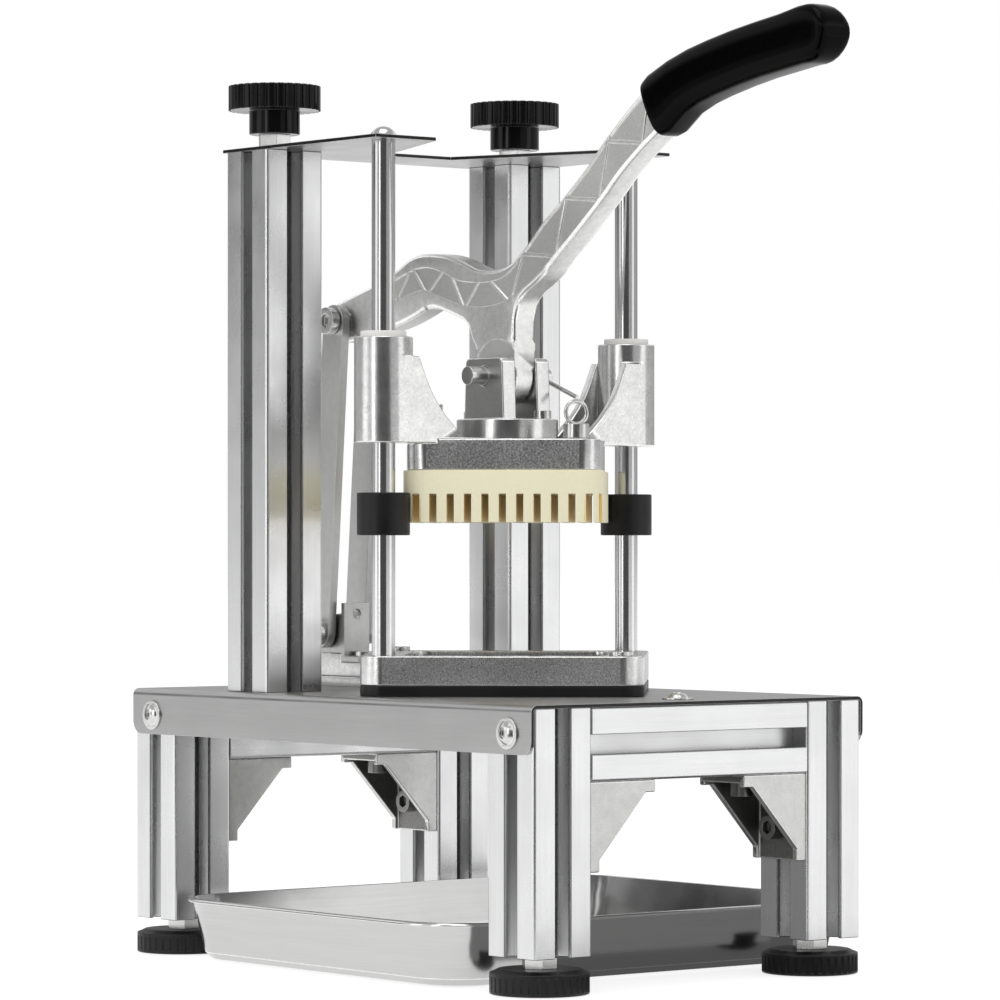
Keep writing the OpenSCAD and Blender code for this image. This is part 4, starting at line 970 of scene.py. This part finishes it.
class SetStage(bpy.types.Operator):
    """Builds the white sweep, the lamps, the flags and the camera"""

    bl_idname = "fry_cutter.stage"
    bl_label = "Stage"

    def execute(self, context):
        scene = context.scene
        self.floor()
        self.world(scene)
        softbox("overhead", (-0.3, -0.2, 1.9), (0, 0, 0.15), (1.2, 1.2), 8.0)
        softbox("left", (-1.85, 0.75, 0.75), (0, 0, 0.2), (0.8, 1.4), 3.2)
        softbox("front_left_strip", (-1.95, -0.45, 0.8), (0, 0, 0.2), (0.28, 1.4), 3.6)
        softbox("right", (1.2, -1.7, 0.75), (0, 0, 0.2), (0.9, 1.4), 3.0)
        softbox("front_fill", (-1.3, -1.6, 1.5), (0, 0, 0.2), (1.0, 0.6), 3.5)
        flag(
            "flag_camera_side", [(0.34, 0.002), (2.3, 0.003), (2.3, 1.6)],
            CAMERA_SIDE - CAMERA_HALF, 2 * CAMERA_HALF, 0.09,
        )
        flag(
            "flag_round", [(2.5, 0.16), (2.5, 1.1)],
            CAMERA_SIDE + CAMERA_HALF, 2 * math.pi - 2 * CAMERA_HALF, 0.45,
        )
        # A dark card on the floor before the tray, seen only in reflections: painted shade in the tray's
        # sides.
        flag("flag_tray", [(0.05, 0.0008), (0.23, 0.0008)], math.radians(245), math.radians(100), 0.13)
        self.inner_flag()
        # A dark card seen only in reflections: painted shade in the grip's cheeks.
        flag("flag_gap", [(2.3, 0.48), (2.3, 0.9)], math.radians(117), math.radians(22), 0.03)
        flag("flag_ceiling", [(0.02, 2.2), (2.6, 2.2)], 0.0, 2 * math.pi, 0.55)
        data = bpy.data.cameras.new("camera")
        data.lens = LENS
        data.sensor_width = 36
        data.shift_y = SHIFT_Y
        data.clip_start, data.clip_end = 0.05, 50
        camera = bpy.data.objects.new("camera", data)
        camera.location = CAMERA_AT
        camera.rotation_euler = CAMERA_TURN
        scene.collection.objects.link(camera)
        scene.camera = camera
        scene.view_settings.view_transform = "Standard"
        return {"FINISHED"}

    def inner_flag(self):
        """A card behind the front legs, so that what stands behind them mirrors shade."""
        left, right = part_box("leg_front_left"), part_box("leg_front_right")
        bm = bmesh.new()
        bmesh.ops.create_grid(bm, x_segments=1, y_segments=1, size=0.5)
        upright = Matrix.Rotation(math.radians(90), 3, "X")
        bmesh.ops.rotate(bm, cent=(0, 0, 0), matrix=upright, verts=bm.verts)
        bmesh.ops.scale(bm, vec=(right[1].x - left[0].x, 1, left[1].z * INNER_FLAG_SHARE), verts=bm.verts)
        bmesh.ops.translate(
            bm, vec=((left[0].x + right[1].x) / 2, left[1].y + INNER_FLAG_GAP, left[1].z / 2), verts=bm.verts
        )
        glossy_card("flag_inner", bm, 0.22)

    def floor(self):
        """A white floor that keeps the shadows."""
        bm = bmesh.new()
        bmesh.ops.create_grid(bm, x_segments=1, y_segments=1, size=FLOOR_SIZE)
        bmesh.ops.translate(bm, verts=bm.verts, vec=(0, 0, -FLOOR_DROP))
        mesh = bpy.data.meshes.new("floor")
        bm.to_mesh(mesh)
        bm.free()

        def build(tree):
            matt = tree.nodes.new("ShaderNodeBsdfDiffuse")
            matt.inputs["Color"].default_value = (0.35, 0.35, 0.35, 1)
            glow = tree.nodes.new("ShaderNodeEmission")
            glow.inputs["Strength"].default_value = 0.80
            plain = tree.nodes.new("ShaderNodeBsdfDiffuse")
            plain.inputs["Color"].default_value = (0.8, 0.8, 0.8, 1)
            add = tree.nodes.new("ShaderNodeAddShader")
            mix = tree.nodes.new("ShaderNodeMixShader")
            out = tree.nodes.new("ShaderNodeOutputMaterial")
            tree.links.new(matt.outputs[0], add.inputs[0])
            tree.links.new(glow.outputs[0], add.inputs[1])
            tree.links.new(backdrop_rays(tree), mix.inputs["Fac"])
            tree.links.new(plain.outputs[0], mix.inputs[1])
            tree.links.new(add.outputs[0], mix.inputs[2])
            tree.links.new(mix.outputs[0], out.inputs["Surface"])

        mesh.materials.append(seen_material("white_sweep", build))
        floor = bpy.data.objects.new("floor", mesh)
        bpy.context.scene.collection.objects.link(floor)

    def world(self, scene):
        """A soft room light that shows as plain white."""
        world = bpy.data.worlds.new("studio")
        scene.world = world
        world.use_nodes = True
        tree = world.node_tree
        tree.nodes.clear()
        room = tree.nodes.new("ShaderNodeBackground")
        room.inputs["Strength"].default_value = 0.75
        white = tree.nodes.new("ShaderNodeBackground")
        white.inputs["Strength"].default_value = 1.0
        for node in (room, white):
            node.inputs["Color"].default_value = (1, 1, 1, 1)
        mix = tree.nodes.new("ShaderNodeMixShader")
        out = tree.nodes.new("ShaderNodeOutputWorld")
        tree.links.new(backdrop_rays(tree), mix.inputs["Fac"])
        tree.links.new(room.outputs[0], mix.inputs[1])
        tree.links.new(white.outputs[0], mix.inputs[2])
        tree.links.new(mix.outputs[0], out.inputs["Surface"])


STEPS = (
    DressProfiles, DressSheets, DressTray, DressCastings, DressLever, DressHead, DressBlades,
    DressFasteners, DressMouldings, SetStage,
)


class FryCutterPanel(bpy.types.Panel):
    """Settings and steps of the fry cutter"""

    bl_idname = "VIEW3D_PT_fry_cutter"
    bl_label = "Fry Cutter"
    bl_space_type = "VIEW_3D"
    bl_region_type = "UI"
    bl_category = "Fry Cutter"

    def draw(self, context):
        for settings in (context.scene.fry_cutter_sizes, context.scene.fry_cutter_colours):
            for name in settings.__annotations__:
                self.layout.prop(settings, name)
        for step in STEPS:
            self.layout.operator(step.bl_idname)


CLASSES = (FryCutterSizes, FryCutterColours, *STEPS, FryCutterPanel)


def register():
    """Registers the classes and the scene's settings."""
    for cls in CLASSES:
        bpy.utils.register_class(cls)
    bpy.types.Scene.fry_cutter_sizes = PointerProperty(type=FryCutterSizes)
    bpy.types.Scene.fry_cutter_colours = PointerProperty(type=FryCutterColours)


def unregister():
    """Removes the settings and the classes."""
    del bpy.types.Scene.fry_cutter_sizes
    del bpy.types.Scene.fry_cutter_colours
    for cls in reversed(CLASSES):
        bpy.utils.unregister_class(cls)


def main():
    """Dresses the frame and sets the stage."""
    register()
    GROUPS.update(
        blasted=blasted_group(), drawn=drawn_group(), moulded=moulded_group(), wear=wear_group()
    )
    bpy.ops.fry_cutter.profiles()
    bpy.ops.fry_cutter.sheets()
    bpy.ops.fry_cutter.tray()
    bpy.ops.fry_cutter.castings()
    bpy.ops.fry_cutter.lever()
    bpy.ops.fry_cutter.head()
    bpy.ops.fry_cutter.blades()
    bpy.ops.fry_cutter.fasteners()
    bpy.ops.fry_cutter.mouldings()
    bpy.ops.fry_cutter.stage()
    bpy.context.view_layer.update()


if __name__ == "__main__":
    main()
